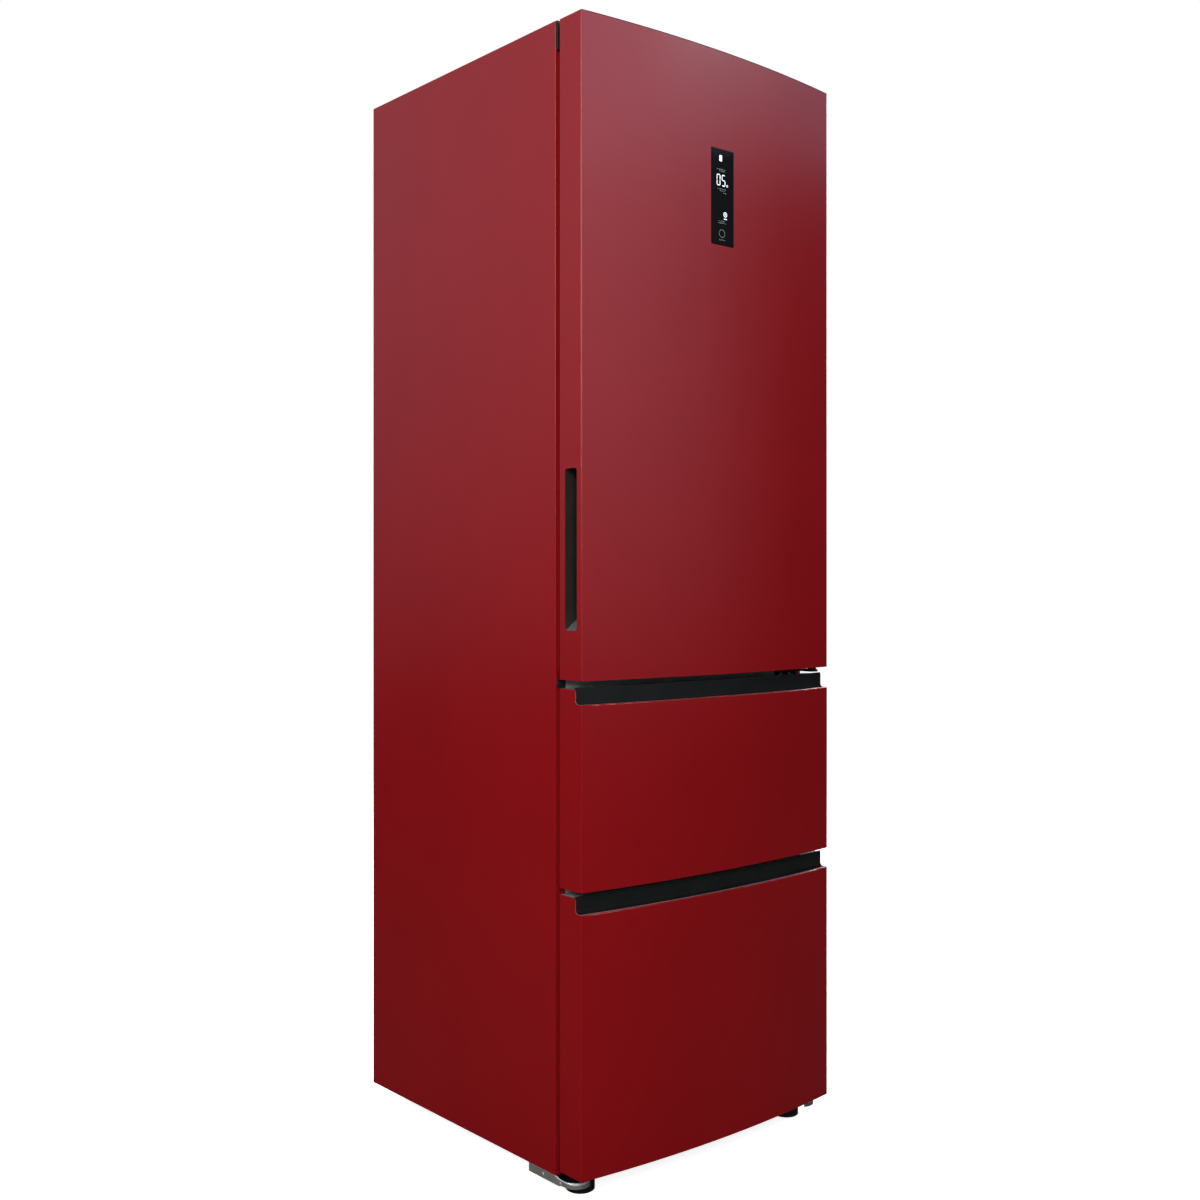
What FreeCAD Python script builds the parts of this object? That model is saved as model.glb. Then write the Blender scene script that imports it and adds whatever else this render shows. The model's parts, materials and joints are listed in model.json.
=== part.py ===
import FreeCAD, Part
import math
import os

from FreeCAD import Vector

os.makedirs("parts", exist_ok=True)

# A fridge freezer with one hinged fridge door over two freezer drawers.
# Sizes are in mm. x runs to the right seen from the front, y to the back, z up from the floor.

# Overall sizes
width = 595.0
top = 1905.0
cabinet_depth = 560.0
door_gap = 11.0
door_edge = 55.0
bow = 20.0
base = 32.0

# Heights on the front, from the cabinet's base up
front_lift = 10.0
lower_front = 423.0
lower_notch = 25.0
drawer_gap = 10.5
upper_front = 298.5
upper_notch = 24.0
hinge_gap = 14.0
door_drop = 1.0

# Sheets, walls and fits; a cut runs past the faces that it opens
sheet = 0.8
pan_sheet = 1.2
moulding = 2.0
liner_wall = 2.0
seam = 0.2
running = 0.5
bore_play = 0.05
past = 5.0

# Cabinet shell
flange = 30.0
rail_inset = 20.0
rear_flange = 15.0
rail_lip = 12.0
top_rail = 24.0
rail_margin = 3.0
rail_to_opening = 4.0
pan_lip = 14.0
fridge_wall = 42.0
freezer_wall = 54.0
rear_wall = 50.0
liner_radius = 10.0
crossbar_depth = 45.0
crossbar_radius = 6.0

# Trim over the cabinet's front edge
trim_drop = 48.0
trim_stand = 5.0
trim_depth = 75.0
trim_wall = 2.5
trim_bevel = 10.0
trim_radius = 2.0

# Compressor bay and its cover
bay_depth = 185.0
bay_top = 245.0
bay_foam = 48.0
cover_corner = 6.0
slot_width = 14.0
slot_height = 48.0
slot_pitch = 40.0
slot_low = 40.0
slot_row_pitch = 72.0
gland_inset = 60.0
gland_rise = 22.0
gland_bore = 4.0
gland_radius = 10.0
gland_rim = 13.0
gland_collar = 3.0

# Compressor
compressor_inset = 180.0
compressor_radius = 76.0
compressor_height = 136.0
compressor_slope = 30.0
weld_level = 66.0
weld_rim = 4.0
foot_plate_sheet = 3.0
foot_plate_corner = 14.0
grommet_x = 100.0
grommet_y = 55.0
grommet_radius = 12.0
grommet_waist = 6.8
grommet_head = 10.0
grommet_height = 12.0
grommet_top = 4.0
terminal_width = 56.0
terminal_depth = 24.0
terminal_low = 22.0
terminal_high = 64.0
pipe_radius = 4.0
pipe_level = 48.0
pipe_reach = 30.0
pipe_spread = 20.0
drain_half_width = 100.0
drain_half_depth = 62.0
drain_height = 32.0
drain_taper = 6.0
drain_radius = 12.0

# Door and drawer fronts
corner_radius = 2.5
rim_radius = 1.5
cap_height = 12.0
skin_return = 12.0
gasket_side = 20.0
gasket_end = 14.0
gasket_width = 14.0
gasket_neck = 8.0
gasket_foot = 5.0
plug_clearance = 7.5
plug_reach = 6.0
plug_radius = 6.0

# Raised rim on the door's inner panel
dyke_wall = 11.0
dyke_reach = 25.0
dyke_clearance = 12.5
dyke_end = 8.0
dyke_corner = 18.0
crest_radius = 4.0

# Hinges
pin_inset_x = 18.0
pin_inset_y = 33.0
pin_radius = 4.0
pin_length = 24.0
bush_radius = 8.0
bush_floor = 4.0
hinge_eye = 11.0
middle_plate = 4.0
middle_root = 54.0
tab_drop = 12.0
tab_rise = 16.0
tab_overhang = 2.0
collar_height = 3.0
upper_plate = 3.0
upper_root = 62.0
upper_setback = 10.0
hood_reach = 72.0
hood_front = 14.0
hood_setback = 4.0
hood_side = 2.0
hood_height = 6.0
hood_radius = 9.0
hood_bevel = 3.0

# Drawer grip moulding
notch_depth = 16.0
notch_radius = 6.0
lip_hem = 4.0
groove_depth = 22.0
grip_upstand = 3.0

# Side grip and display in the door
grip_front = 12.0
grip_rear = 13.0
grip_rise = 80.0
grip_height = 260.0
grip_depth = 38.0
grip_corner = 5.0
ramp_rise = 30.0
display_width = 55.0
display_height = 165.0
display_drop = 250.5
display_depth = 6.0
display_stand = 0.4
display_corner = 3.0

# Glass shelves
shelf_count = 3
shelf_front = 124.0
shelf_rear_gap = 10.0
shelf_side_gap = 3.0
shelf_glass = 4.0
shelf_radius = 3.0
ledge = 10.0
ledge_setback = 12.0
ledge_slope = 6.0
nose_lap = 10.0
nose_front = 4.0
nose_below = 6.0
nose_above = 5.0
nose_radius = 3.0
stop_lap = 8.0
stop_rear = 5.0
stop_below = 4.0
stop_above = 16.0
stop_gap = 2.0

# Air duct and lamp
duct_width = 160.0
duct_depth = 22.0
duct_radius = 9.0
duct_foot = 30.0
duct_head = 40.0
outlet_drop = 66.0
outlet_height = 12.0
outlet_side = 18.0
outlet_middle = 8.0
outlet_depth = 10.0
lamp_width = 170.0
lamp_front = 150.0
lamp_depth = 56.0
lamp_height = 9.0
lamp_radius = 6.0

# Vegetable drawer
crisper_front = 168.0
crisper_height = 190.0
crisper_headroom = 23.0
crisper_side = 16.0
crisper_rear = 26.0
crisper_taper = 10.0
crisper_radius = 16.0
pull_depth = 14.0
pull_height = 6.0
pull_side = 30.0
pull_radius = 2.0

# Door shelves
bottle_rise = 33.0
bottle_height = 115.0
bottle_space = 305.0
balcony_count = 3
balcony_height = 70.0
balcony_reach = 105.0
balcony_wall = 2.5
balcony_taper = 0.5
balcony_radius = 14.0
balcony_gap = 1.0
lug_length = 18.0
lug_height = 24.0
lug_rise = 8.0
lug_setback = 8.0
lug_root = 1.0

# Telescopic slides
slide_depth = 12.0
slide_height = 42.0
slide_wall = 1.5
slide_length = 400.0
slide_start = 30.0
slide_rise = 68.5
slide_over_step = 45.0
middle_setback = 4.0
middle_shorter = 20.0
track_setback = 34.0
track_wall = 3.0
rail_shorter = 15.0
stem_height = 8.0
angle_drop = 18.0
angle_rise = 27.0
angle_ledge = 10.0
tongue_width = 24.0
tongue_sheet = 2.0

# Freezer baskets
basket_wall = 2.5
basket_gap = 12.0
basket_side = 12.0
basket_front = 6.0
basket_floor = 12.0
basket_head = 18.0
basket_taper = 4.0
basket_radius = 14.0
basket_flange = 4.0
flange_side = 4.0
flange_end = 20.0

# Evaporator, its fan and the panel in front of them
cover_depth = 70.0
cover_sheet = 2.5
grille_pitch = 10.5
grille_slot = 6.0
return_pitch = 24.0
return_slot = 16.0
return_height = 8.0
return_rise = 18.0
coil_front = 14.0
coil_side = 45.0
coil_rise = 45.0
coil_drop = 40.0
fin_count = 18
fin_gap_share = 0.8
fin_depth = 16.0
tube_radius = 5.0
tube_rows = 4
tube_end = 14.0
tube_inset = 34.0
tube_margin = 30.0
fan_radius = 48.0
fan_drop = 83.0
fan_front = 12.0
fan_thickness = 18.0
fan_hub = 15.0
blade_count = 5
blade_root = 12.0
blade_chord = 24.0
blade_wall = 1.6
blade_pitch = 38.0
blade_tip_gap = 2.0
motor_front = 34.0
motor_radius = 22.0
motor_foot = 40.0
motor_foot_height = 16.0
motor_foot_sheet = 3.0

# Front feet and their brackets
foot_inset = 48.0
foot_forward = 5.0
foot_radius = 24.0
foot_height = 9.0
foot_bevel = 1.0
foot_shoulder = 3.0
hub_wall = 5.0
hub_draft = 1.0
stud_radius = 5.0
stud_gap = 4.0
bracket_level = 17.0
bracket_sheet = 2.5
bracket_length = 72.0
bracket_side = 1.0
bracket_nose = 3.0
bracket_slope = 8.0
seat_setback = 14.0
nut_wall = 4.0
nut_height = 8.0

# Rear rollers
roller_side = 70.0
roller_inset = 45.0
roller_radius = 15.0
roller_width = 16.0
roller_bevel = 1.5
axle_radius = 3.0
axle_head = 2.0
cheek_sheet = 2.0
cheek_half = 14.0
cheek_drop = 8.0
cheek_corner = 7.0
crown_sheet = 1.5

# Planes that follow from the sizes above
half = width / 2
depth = cabinet_depth + door_gap + door_edge + bow + display_stand
front = display_stand - depth / 2
front_corner = front + bow
door_back = front_corner + door_edge
cabinet_front = door_back + door_gap
cabinet_back = cabinet_front + cabinet_depth
bow_radius = (half ** 2 + bow ** 2) / (2 * bow)
inside_half = half - sheet
opening_half = half - flange - seam
fridge_half = half - fridge_wall
freezer_half = half - freezer_wall
cavity_back = cabinet_back - rear_wall
gasket_out = half - gasket_side
pin_x = half - pin_inset_x
pin_y = door_back - pin_inset_y
dyke_half = fridge_half - dyke_clearance
balcony_half = dyke_half - dyke_wall - balcony_gap
grip_width = door_edge - grip_front - grip_rear

# Levels of the fronts
lower_bottom = base + front_lift
lower_lip = lower_bottom + lower_front
lower_top = lower_lip + lower_notch
upper_bottom = lower_top + drawer_gap
upper_lip = upper_bottom + upper_front
upper_top = upper_lip + upper_notch
door_bottom = upper_top + hinge_gap
door_top = top - door_drop
grip_low = door_bottom + grip_rise
grip_high = grip_low + grip_height
display_centre = door_top - display_drop

# Levels of the rails that the gaskets close against, and of the openings between them
gasket_band = gasket_end + gasket_width + rail_margin
mid_rail_low = upper_top - gasket_band
mid_rail_high = door_bottom + gasket_band
bar_low = lower_top - gasket_band
bar_high = upper_bottom + gasket_band
base_rail_high = lower_bottom + gasket_band
top_rail_high = top - trim_drop
top_rail_low = top_rail_high - top_rail
fridge_low = mid_rail_high + rail_to_opening
fridge_high = top_rail_low - rail_to_opening
freezer_low = base_rail_high + rail_to_opening
freezer_high = mid_rail_low - rail_to_opening
door_gasket_high = top_rail_high - rail_margin * 2
rail_levels = ((bar_low, bar_high), (mid_rail_low, mid_rail_high), (top_rail_low, top_rail_high))

# Levels inside
bay_front = cabinet_back - bay_depth
step_front = bay_front - bay_foam - liner_wall
step_level = bay_top + bay_foam + liner_wall
crisper_cover_level = fridge_low + crisper_height + crisper_headroom
shelf_pitch = (fridge_high - crisper_cover_level) / (shelf_count + 1)
shelf_levels = [crisper_cover_level + shelf_pitch * (k + 1) for k in range(shelf_count)]
glass_levels = [crisper_cover_level] + shelf_levels
bottle_level = fridge_low + bottle_rise
first_balcony = bottle_level + bottle_space
balcony_pitch = (fridge_high - first_balcony) / balcony_count
balcony_levels = [first_balcony + balcony_pitch * k for k in range(balcony_count)]
upper_slide = bar_high + slide_rise
lower_slide = step_level + slide_over_step
fan_height = freezer_high - fan_drop

# Places under and behind the cabinet, all on the left where there is a pair
foot_x = -half + foot_inset
foot_y = cabinet_front - foot_forward
nose_reach = foot_radius + bracket_nose
roller_middle = Vector(-half + roller_side, cabinet_back - roller_inset, roller_radius)
compressor_middle = Vector(half - compressor_inset, (bay_front + cabinet_back) / 2, base + pan_sheet)
compressor_low = compressor_middle.z + grommet_height
cover_back = cabinet_back - sheet - seam
gland_middle = Vector(-half + gland_inset, cover_back - sheet - gland_collar, base + pan_lip + gland_rise)

across = Vector(1, 0, 0)
back = Vector(0, 1, 0)
up = Vector(0, 0, 1)


def box(x0, x1, y0, y1, z0, z1):
    """A block between two values on each axis."""
    return Part.makeBox(x1 - x0, y1 - y0, z1 - z0, Vector(x0, y0, z0))


def fused(shapes):
    """One solid from pieces that overlap or share faces, without the seams."""
    return shapes[0].multiFuse(shapes[1:]).removeSplitter()


def mirrored(shape):
    """The same piece on the other side of the middle plane."""
    return shape.mirror(Vector(0, 0, 0), across)


def both_sides(shape):
    """A piece and its mirror image, as one group."""
    return [shape, mirrored(shape)]


def straight_edges(shape, direction):
    """The straight edges of a shape that run along a direction."""
    picked = []
    for edge in shape.Edges:
        if edge.Curve.TypeId == "Part::GeomLine" and edge.Curve.Direction.cross(direction).Length < 1e-6:
            picked.append(edge)
    return picked


def round_edges(shape):
    """The circular edges of a shape."""
    return [edge for edge in shape.Edges if edge.Curve.TypeId == "Part::GeomCircle"]


def rounded_box(x0, x1, y0, y1, z0, z1, radius, direction):
    """A block whose four edges along one direction are rounded."""
    block = box(x0, x1, y0, y1, z0, z1)
    return block.makeFillet(radius, straight_edges(block, direction))


def bar(radius, start, end):
    """A round bar between two points."""
    run = end.sub(start)
    return Part.makeCylinder(radius, run.Length, start, run)


def post(radius, x, y, z0, z1):
    """An upright round bar."""
    return bar(radius, Vector(x, y, z0), Vector(x, y, z1))


def turned(outline, middle):
    """A round piece about an upright axis: its outline is a list of (radius, height) points."""
    points = [middle + Vector(radius, 0, height) for radius, height in outline]
    return Part.Face(Part.makePolygon(points + points[:1])).revolve(middle, up, 360)


def side_profile(points, x0, x1):
    """A piece of constant section across the width: its outline is a list of (y, z) points."""
    corners = [Vector(x0, y, z) for y, z in points]
    return Part.Face(Part.makePolygon(corners + corners[:1])).extrude(Vector(x1 - x0, 0, 0))


def front_at(x, inset):
    """The depth of the bowed front at a place across the width, moved back by an inset."""
    return front + inset + bow_radius - math.sqrt(bow_radius ** 2 - x * x)


def bowed_line(reach, inset, z):
    """The bowed front's curve across the width."""
    ends = front_at(reach, inset)
    return Part.Arc(Vector(-reach, ends, z), Vector(0, front + inset, z), Vector(reach, ends, z)).toShape()


def bowed_slab(reach, inset, rear, z0, z1):
    """A slab with a bowed front and a flat rear."""
    ends = front_at(reach, inset)
    outline = [
        bowed_line(reach, inset, z0),
        Part.makeLine(Vector(reach, ends, z0), Vector(reach, rear, z0)),
        Part.makeLine(Vector(reach, rear, z0), Vector(-reach, rear, z0)),
        Part.makeLine(Vector(-reach, rear, z0), Vector(-reach, ends, z0)),
    ]
    return Part.Face(Part.Wire(outline)).extrude(Vector(0, 0, z1 - z0))


def bowed_strip(reach, inset, rear_inset, z0, z1):
    """A strip that follows the bow on both of its faces."""
    ends = front_at(reach, inset)
    rear_ends = front_at(reach, rear_inset)
    outline = [
        bowed_line(reach, inset, z0),
        Part.makeLine(Vector(reach, ends, z0), Vector(reach, rear_ends, z0)),
        bowed_line(reach, rear_inset, z0),
        Part.makeLine(Vector(-reach, rear_ends, z0), Vector(-reach, ends, z0)),
    ]
    return Part.Face(Part.Wire(outline)).extrude(Vector(0, 0, z1 - z0))


def bowed_edges(shape, level):
    """The long curved edges of a bowed piece that lie at one level."""
    picked = []
    for edge in round_edges(shape):
        extent = edge.BoundBox
        if extent.XLength > half and abs(extent.ZMin - level) < 0.01 and abs(extent.ZMax - level) < 0.01:
            picked.append(edge)
    return picked


def front_corner_edges(shape):
    """The two upright edges at the front corners of a bowed slab."""
    edges = straight_edges(shape, up)
    foremost = min(edge.BoundBox.YMin for edge in edges)
    return [edge for edge in edges if edge.BoundBox.YMin < foremost + 0.01]


def leaning_block(x0, x1, y0, y1, z0, z1, taper, radius):
    """A block with rounded upright corners whose sides lean in by a taper towards its floor."""
    block = Part.makeWedge(
        x0 + taper, z0, taper - y1, -y1, x0, x1 - taper, z1, -y0 - taper, -y0, x1
    )
    block.rotate(Vector(0, 0, 0), across, 90)
    return block.makeFillet(radius, [edge for edge in block.Edges if edge.BoundBox.ZLength > 1])


def tub(x0, x1, y0, y1, z0, z1, taper, radius, wall, extras=()):
    """An open tub that narrows towards its floor, with extra pieces joined to its outside."""
    outside = leaning_block(x0, x1, y0, y1, z0, z1, taper, radius)
    if extras:
        outside = fused([outside] + list(extras))
    slope = taper * wall / (z1 - z0)
    inner_x0, inner_x1 = x0 + wall - slope, x1 - wall + slope
    inner_y0, inner_y1 = y0 + wall - slope, y1 - wall + slope
    hollow = leaning_block(
        inner_x0, inner_x1, inner_y0, inner_y1, z0 + wall, z1 + wall, taper, radius - wall
    )
    return outside.cut(hollow)


def export(name, shapes):
    """Write one node: a single solid, or a group of equal pieces."""
    shape = Part.makeCompound(shapes) if isinstance(shapes, list) else shapes
    shape.exportStep("parts/" + name + ".step")


def side_panel():
    """The left cabinet side: one sheet bent round at the front, notched for the rails, and at the rear."""
    web = box(-half, -half + sheet, cabinet_front, cabinet_back, base, top)
    landing = box(-half, -half + flange, cabinet_front, cabinet_front + sheet, base, top_rail_high)
    for low, high in rail_levels:
        landing = landing.cut(box(
            -half + rail_inset, -half + flange + past, cabinet_front - past, cabinet_front + past,
            low - seam, high + seam,
        ))
    rear = box(-half, -half + rear_flange, cabinet_back - sheet, cabinet_back, base, top)
    panel = fused([web, landing, rear])
    bends = []
    for edge in straight_edges(panel, up):
        if abs(edge.BoundBox.XMin + half) < 0.01 and edge.BoundBox.YMin < cabinet_front + 0.01:
            bends.append(edge)
    return panel.makeFillet(sheet * 0.9, bends)


def top_panel():
    """The roof sheet behind the front trim."""
    reach = inside_half - seam
    first = cabinet_front + trim_depth + seam
    return box(-reach, reach, first, cabinet_back - sheet - seam, top - sheet, top)


def back_panel():
    """One bent sheet: the rear, the ceiling of the compressor bay and the bay's front wall."""
    rear = cabinet_back - sheet - seam
    ceiling = top - sheet - seam
    floor = base + pan_sheet + seam
    outline = [
        (rear, ceiling), (rear, bay_top), (bay_front, bay_top), (bay_front, floor),
        (bay_front - sheet, floor), (bay_front - sheet, bay_top + sheet),
        (rear - sheet, bay_top + sheet), (rear - sheet, ceiling),
    ]
    return side_profile(outline, -inside_half + seam, inside_half - seam)


def base_pan():
    """The floor sheet, with an upright rail at the front and a low one at the rear."""
    reach = inside_half - seam
    rear = cabinet_back - sheet - seam
    floor = box(-reach, reach, cabinet_front + sheet + seam, rear, base, base + pan_sheet)
    rail = box(-opening_half, opening_half, cabinet_front, cabinet_front + pan_sheet, base, base_rail_high)
    lip = box(-reach, reach, rear - pan_sheet, rear, base, base + pan_lip)
    return fused([floor, rail, lip])


def front_rail(low, high):
    """A cross rail between the side flanges: a sheet with its two long edges turned back."""
    end = half - rail_inset - seam
    face = box(-end, end, cabinet_front, cabinet_front + sheet, low, high)
    reach = freezer_half - seam
    turn = cabinet_front + rail_lip
    lips = [box(-reach, reach, cabinet_front, turn, z, z + sheet) for z in (low, high - sheet)]
    return fused([face] + lips)


def foam_slabs():
    """The insulation, as the slabs that fill the walls, the floor, the ceiling and the middle wall."""
    outer = inside_half - seam
    behind_flange = cabinet_front + liner_wall + seam
    behind_rail = cabinet_front + rail_lip + seam
    rear = cabinet_back - 2 * sheet - 2 * seam
    fridge_out = fridge_half + liner_wall + seam
    freezer_out = freezer_half + liner_wall + seam
    cavity_out = cavity_back + liner_wall + seam
    floor = base + pan_sheet + seam
    lowest = freezer_low - liner_wall - seam
    middle = freezer_high + liner_wall + seam
    middle_top = fridge_low - liner_wall - seam
    ceiling = fridge_high + liner_wall + seam
    roof = top - trim_wall - 2 * seam
    step = step_level - liner_wall - seam
    step_out = step_front + liner_wall + seam
    bay_sheet = bay_front - sheet - seam
    slabs = both_sides(box(-outer, -fridge_out - seam, behind_flange, rear, middle + seam, ceiling - seam))
    slabs += both_sides(box(-outer, -freezer_out - seam, behind_flange, rear, step + seam, middle - seam))
    slabs += both_sides(box(-outer, -freezer_out - seam, behind_flange, bay_sheet, floor, step - seam))
    slabs.append(box(-fridge_out, fridge_out, cavity_out + seam, rear, middle_top + seam, ceiling - seam))
    slabs.append(box(-freezer_out, freezer_out, cavity_out + seam, rear, step + seam, middle - seam))
    slabs.append(box(-fridge_out, fridge_out, behind_rail, rear, middle, middle_top))
    slabs.append(box(-outer, outer, behind_rail, rear, ceiling, roof))
    slabs.append(box(-outer, outer, bay_sheet + seam, rear, bay_top + sheet + seam, step - seam))
    slabs.append(box(-freezer_out, freezer_out, step_out, bay_sheet, floor, step))
    slabs.append(box(-freezer_out, freezer_out, behind_flange, step_out - seam, floor, lowest))
    return slabs


def liner_lip(low, high):
    """The flat rim of a liner, behind the cabinet's front rails."""
    reach = opening_half - seam
    return box(-reach, reach, cabinet_front, cabinet_front + liner_wall, low + seam, high - seam)


def fridge_hollow(grow, first):
    """The fridge's space, grown by a wall, from a first depth to its rear."""
    reach = fridge_half + grow
    low = fridge_low - grow
    high = fridge_high + grow
    return rounded_box(-reach, reach, first, cavity_back + grow, low, high, liner_radius + grow, back)


def fridge_liner():
    """The fridge tub: a front flange, five walls and the ledges that carry the shelves."""
    shell = fridge_hollow(liner_wall, cabinet_front).fuse(liner_lip(mid_rail_high, top_rail_low))
    shell = shell.cut(fridge_hollow(0, cabinet_front - past))
    first = cabinet_front + shelf_front + ledge_setback
    last = cavity_back - duct_depth
    ledges = []
    for level in glass_levels:
        shelf_seat = box(-fridge_half, -fridge_half + ledge, first, last, level - ledge, level)
        under = []
        for edge in straight_edges(shelf_seat, back):
            if edge.BoundBox.XMin > -fridge_half + 1 and edge.BoundBox.ZMin < level - 1:
                under.append(edge)
        ledges += both_sides(shelf_seat.makeChamfer(ledge_slope, under))
    return fused([shell] + ledges)


def freezer_hollow(grow, first):
    """The freezer's space with its step over the compressor bay, grown by a wall."""
    low = freezer_low - grow
    high = freezer_high + grow
    step = step_level - grow
    outline = [
        (first, low), (step_front + grow, low), (step_front + grow, step),
        (cavity_back + grow, step), (cavity_back + grow, high), (first, high),
    ]
    space = side_profile(outline, -freezer_half - grow, freezer_half + grow)
    corners = []
    for edge in straight_edges(space, back):
        if abs(edge.BoundBox.ZMin - low) < 0.01 or abs(edge.BoundBox.ZMin - high) < 0.01:
            corners.append(edge)
    return space.makeFillet(liner_radius + grow, corners)


def freezer_liner():
    """The freezer tub, with a step over the compressor bay and a gap for the bar between the drawers."""
    shell = freezer_hollow(liner_wall, cabinet_front).fuse(liner_lip(base_rail_high, mid_rail_low))
    shell = shell.cut(freezer_hollow(0, cabinet_front - past))
    behind_rail = cabinet_front + rail_lip + seam
    bar_gap = box(-half, half, cabinet_front - past, behind_rail, bar_low - seam, bar_high + seam)
    return shell.cut(bar_gap).removeSplitter()


def drawer_crossbar():
    """The insulated bar behind the rail between the two drawers."""
    reach = freezer_half - seam
    first = cabinet_front + rail_lip + seam
    last = first + crossbar_depth
    return rounded_box(-reach, reach, first, last, bar_low, bar_high, crossbar_radius, across)


def top_trim():
    """The moulding over the front edge of the cabinet's top."""
    reach = inside_half - seam
    face = cabinet_front - trim_stand
    outline = [
        (face, top_rail_high), (face, top),
        (cabinet_front + trim_depth, top), (cabinet_front + trim_depth, top - trim_wall),
        (cabinet_front + rail_lip, top - trim_wall), (cabinet_front, top - trim_bevel),
        (cabinet_front, top_rail_high),
    ]
    trim = side_profile(outline, -reach, reach)
    nose = [edge for edge in straight_edges(trim, across) if edge.BoundBox.YMin < face + 0.01]
    return trim.makeFillet(trim_radius, nose)


def hinge_arm(z0, z1, root_y, root_half):
    """A flat hinge plate: a wide root on the cabinet that narrows to a round eye on the pin."""
    eye = post(hinge_eye, pin_x, pin_y, z0, z1)
    arm = box(pin_x - hinge_eye, pin_x + hinge_eye, pin_y, root_y, z0, z1)
    root = box(pin_x - root_half, pin_x + hinge_eye, cabinet_front - door_gap / 2, root_y, z0, z1)
    return [eye, arm, root]


def upper_hinge():
    """The top hinge: a plate screwed on the trim, and a pin that points down into the door."""
    high = top + upper_plate
    pieces = hinge_arm(top, high, cabinet_front + trim_depth - upper_setback, upper_root)
    return fused(pieces + [post(pin_radius, pin_x, pin_y, top - pin_length, high)])


def middle_hinge():
    """The middle hinge: a plate in the gap under the door, a tab on the rail and a pin that points up."""
    low = (upper_top + door_bottom - middle_plate) / 2
    high = low + middle_plate
    pieces = hinge_arm(low, high, cabinet_front, middle_root)
    tab = box(
        pin_x - middle_root, pin_x + tab_overhang, cabinet_front - middle_plate, cabinet_front,
        low - tab_drop, low + tab_rise,
    )
    collar = post(bush_radius, pin_x, pin_y, high, high + collar_height)
    pin = post(pin_radius, pin_x, pin_y, low, door_bottom + pin_length)
    return fused(pieces + [tab, collar, pin])


def hinge_cover():
    """The cap over the top hinge."""
    x0 = pin_x - hood_reach
    x1 = half - hood_side
    y0 = pin_y - hood_front
    y1 = cabinet_front + trim_depth - hood_setback
    z1 = top + hood_height
    cap = rounded_box(x0, x1, y0, y1, top + seam, z1, hood_radius, up)
    cap = cap.makeChamfer(hood_bevel, [edge for edge in cap.Edges if edge.BoundBox.ZMin > z1 - 0.01])
    hollow = rounded_box(
        x0 + moulding, x1 - moulding, y0 + moulding, y1 - moulding, top - past, z1 - moulding,
        hood_radius - moulding, up,
    )
    return cap.cut(hollow)


def bracket_front(inset, z0, z1):
    """The nose of the foot's bracket: round over the foot, with a straight run to the side flange."""
    radius = nose_reach - inset
    lean = nose_reach / (foot_inset - bracket_side)
    middle = Vector(foot_x, foot_y, z0)
    touch = Vector(-lean, -math.sqrt(1 - lean ** 2), 0) * radius
    corners = [middle, middle - across * (radius / lean), middle + touch]
    run = Part.Face(Part.makePolygon(corners + corners[:1])).extrude(up * (z1 - z0))
    return run.fuse(post(radius, foot_x, foot_y, z0, z1))


def foot_bracket():
    """A pressed bracket under the front left corner: a side flange, a plate and a nose with a rim."""
    left = -half + bracket_side
    right = foot_x + nose_reach
    end = cabinet_front + bracket_length
    high = bracket_level + bracket_sheet
    web = side_profile([
        (foot_y, bracket_level), (foot_y, high), (cabinet_front + bracket_slope, base), (end, base),
        (end, bracket_level),
    ], left, left + bracket_sheet)
    shelf = box(left, right, foot_y, end, bracket_level, high)
    seat = box(left, right, cabinet_front + seat_setback, end, base - bracket_sheet, base)
    nut = post(stud_radius + nut_wall, foot_x, foot_y, high, high + nut_height)
    rim = bracket_front(0, foot_height + running, bracket_level)
    rim = rim.cut(bracket_front(bracket_sheet, 0, bracket_level))
    rim = rim.cut(box(left - past, right + past, foot_y, end, 0, base))
    body = fused([web, shelf, seat, bracket_front(0, bracket_level, high), nut]).fuse(rim)
    return body.cut(post(stud_radius + bore_play, foot_x, foot_y, 0, top)).removeSplitter()


def front_foot():
    """A levelling foot: a disc, a hub and a stud that turns in its bracket."""
    hub_top = bracket_level - running
    stud_top = lower_bottom - stud_gap
    outline = [
        (0, 0), (foot_radius - foot_bevel, 0), (foot_radius, foot_bevel),
        (foot_radius, foot_height - foot_shoulder - hub_draft),
        (foot_radius - foot_shoulder, foot_height - hub_draft),
        (stud_radius + hub_wall, foot_height), (stud_radius + hub_wall - hub_draft, hub_top),
        (stud_radius, hub_top), (stud_radius, stud_top), (0, stud_top),
    ]
    return turned(outline, Vector(foot_x, foot_y, 0))


def roller_bracket():
    """A fork under the rear left corner, with the roller's axle riveted in it."""
    gap = roller_width / 2 + running
    x, y = roller_middle.x, roller_middle.y
    cheeks = []
    for inner in (x - gap - cheek_sheet, x + gap):
        cheek = box(
            inner, inner + cheek_sheet, y - cheek_half, y + cheek_half, roller_radius - cheek_drop, base
        )
        lower = [edge for edge in straight_edges(cheek, across) if edge.BoundBox.ZMin < roller_radius]
        cheeks.append(cheek.makeChamfer(cheek_corner, lower))
    crown_half = gap + cheek_sheet
    crown = box(x - crown_half, x + crown_half, y - cheek_half, y + cheek_half, base - crown_sheet, base)
    reach = across * (crown_half + axle_head)
    return fused(cheeks + [crown, bar(axle_radius, roller_middle - reach, roller_middle + reach)])


def rear_roller():
    """A roller with bevelled rims and a bore for the axle."""
    reach = across * (roller_width / 2)
    wheel = bar(roller_radius, roller_middle - reach, roller_middle + reach)
    wheel = wheel.makeChamfer(roller_bevel, round_edges(wheel))
    return wheel.cut(bar(axle_radius + bore_play, roller_middle - reach * 2, roller_middle + reach * 2))


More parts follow.
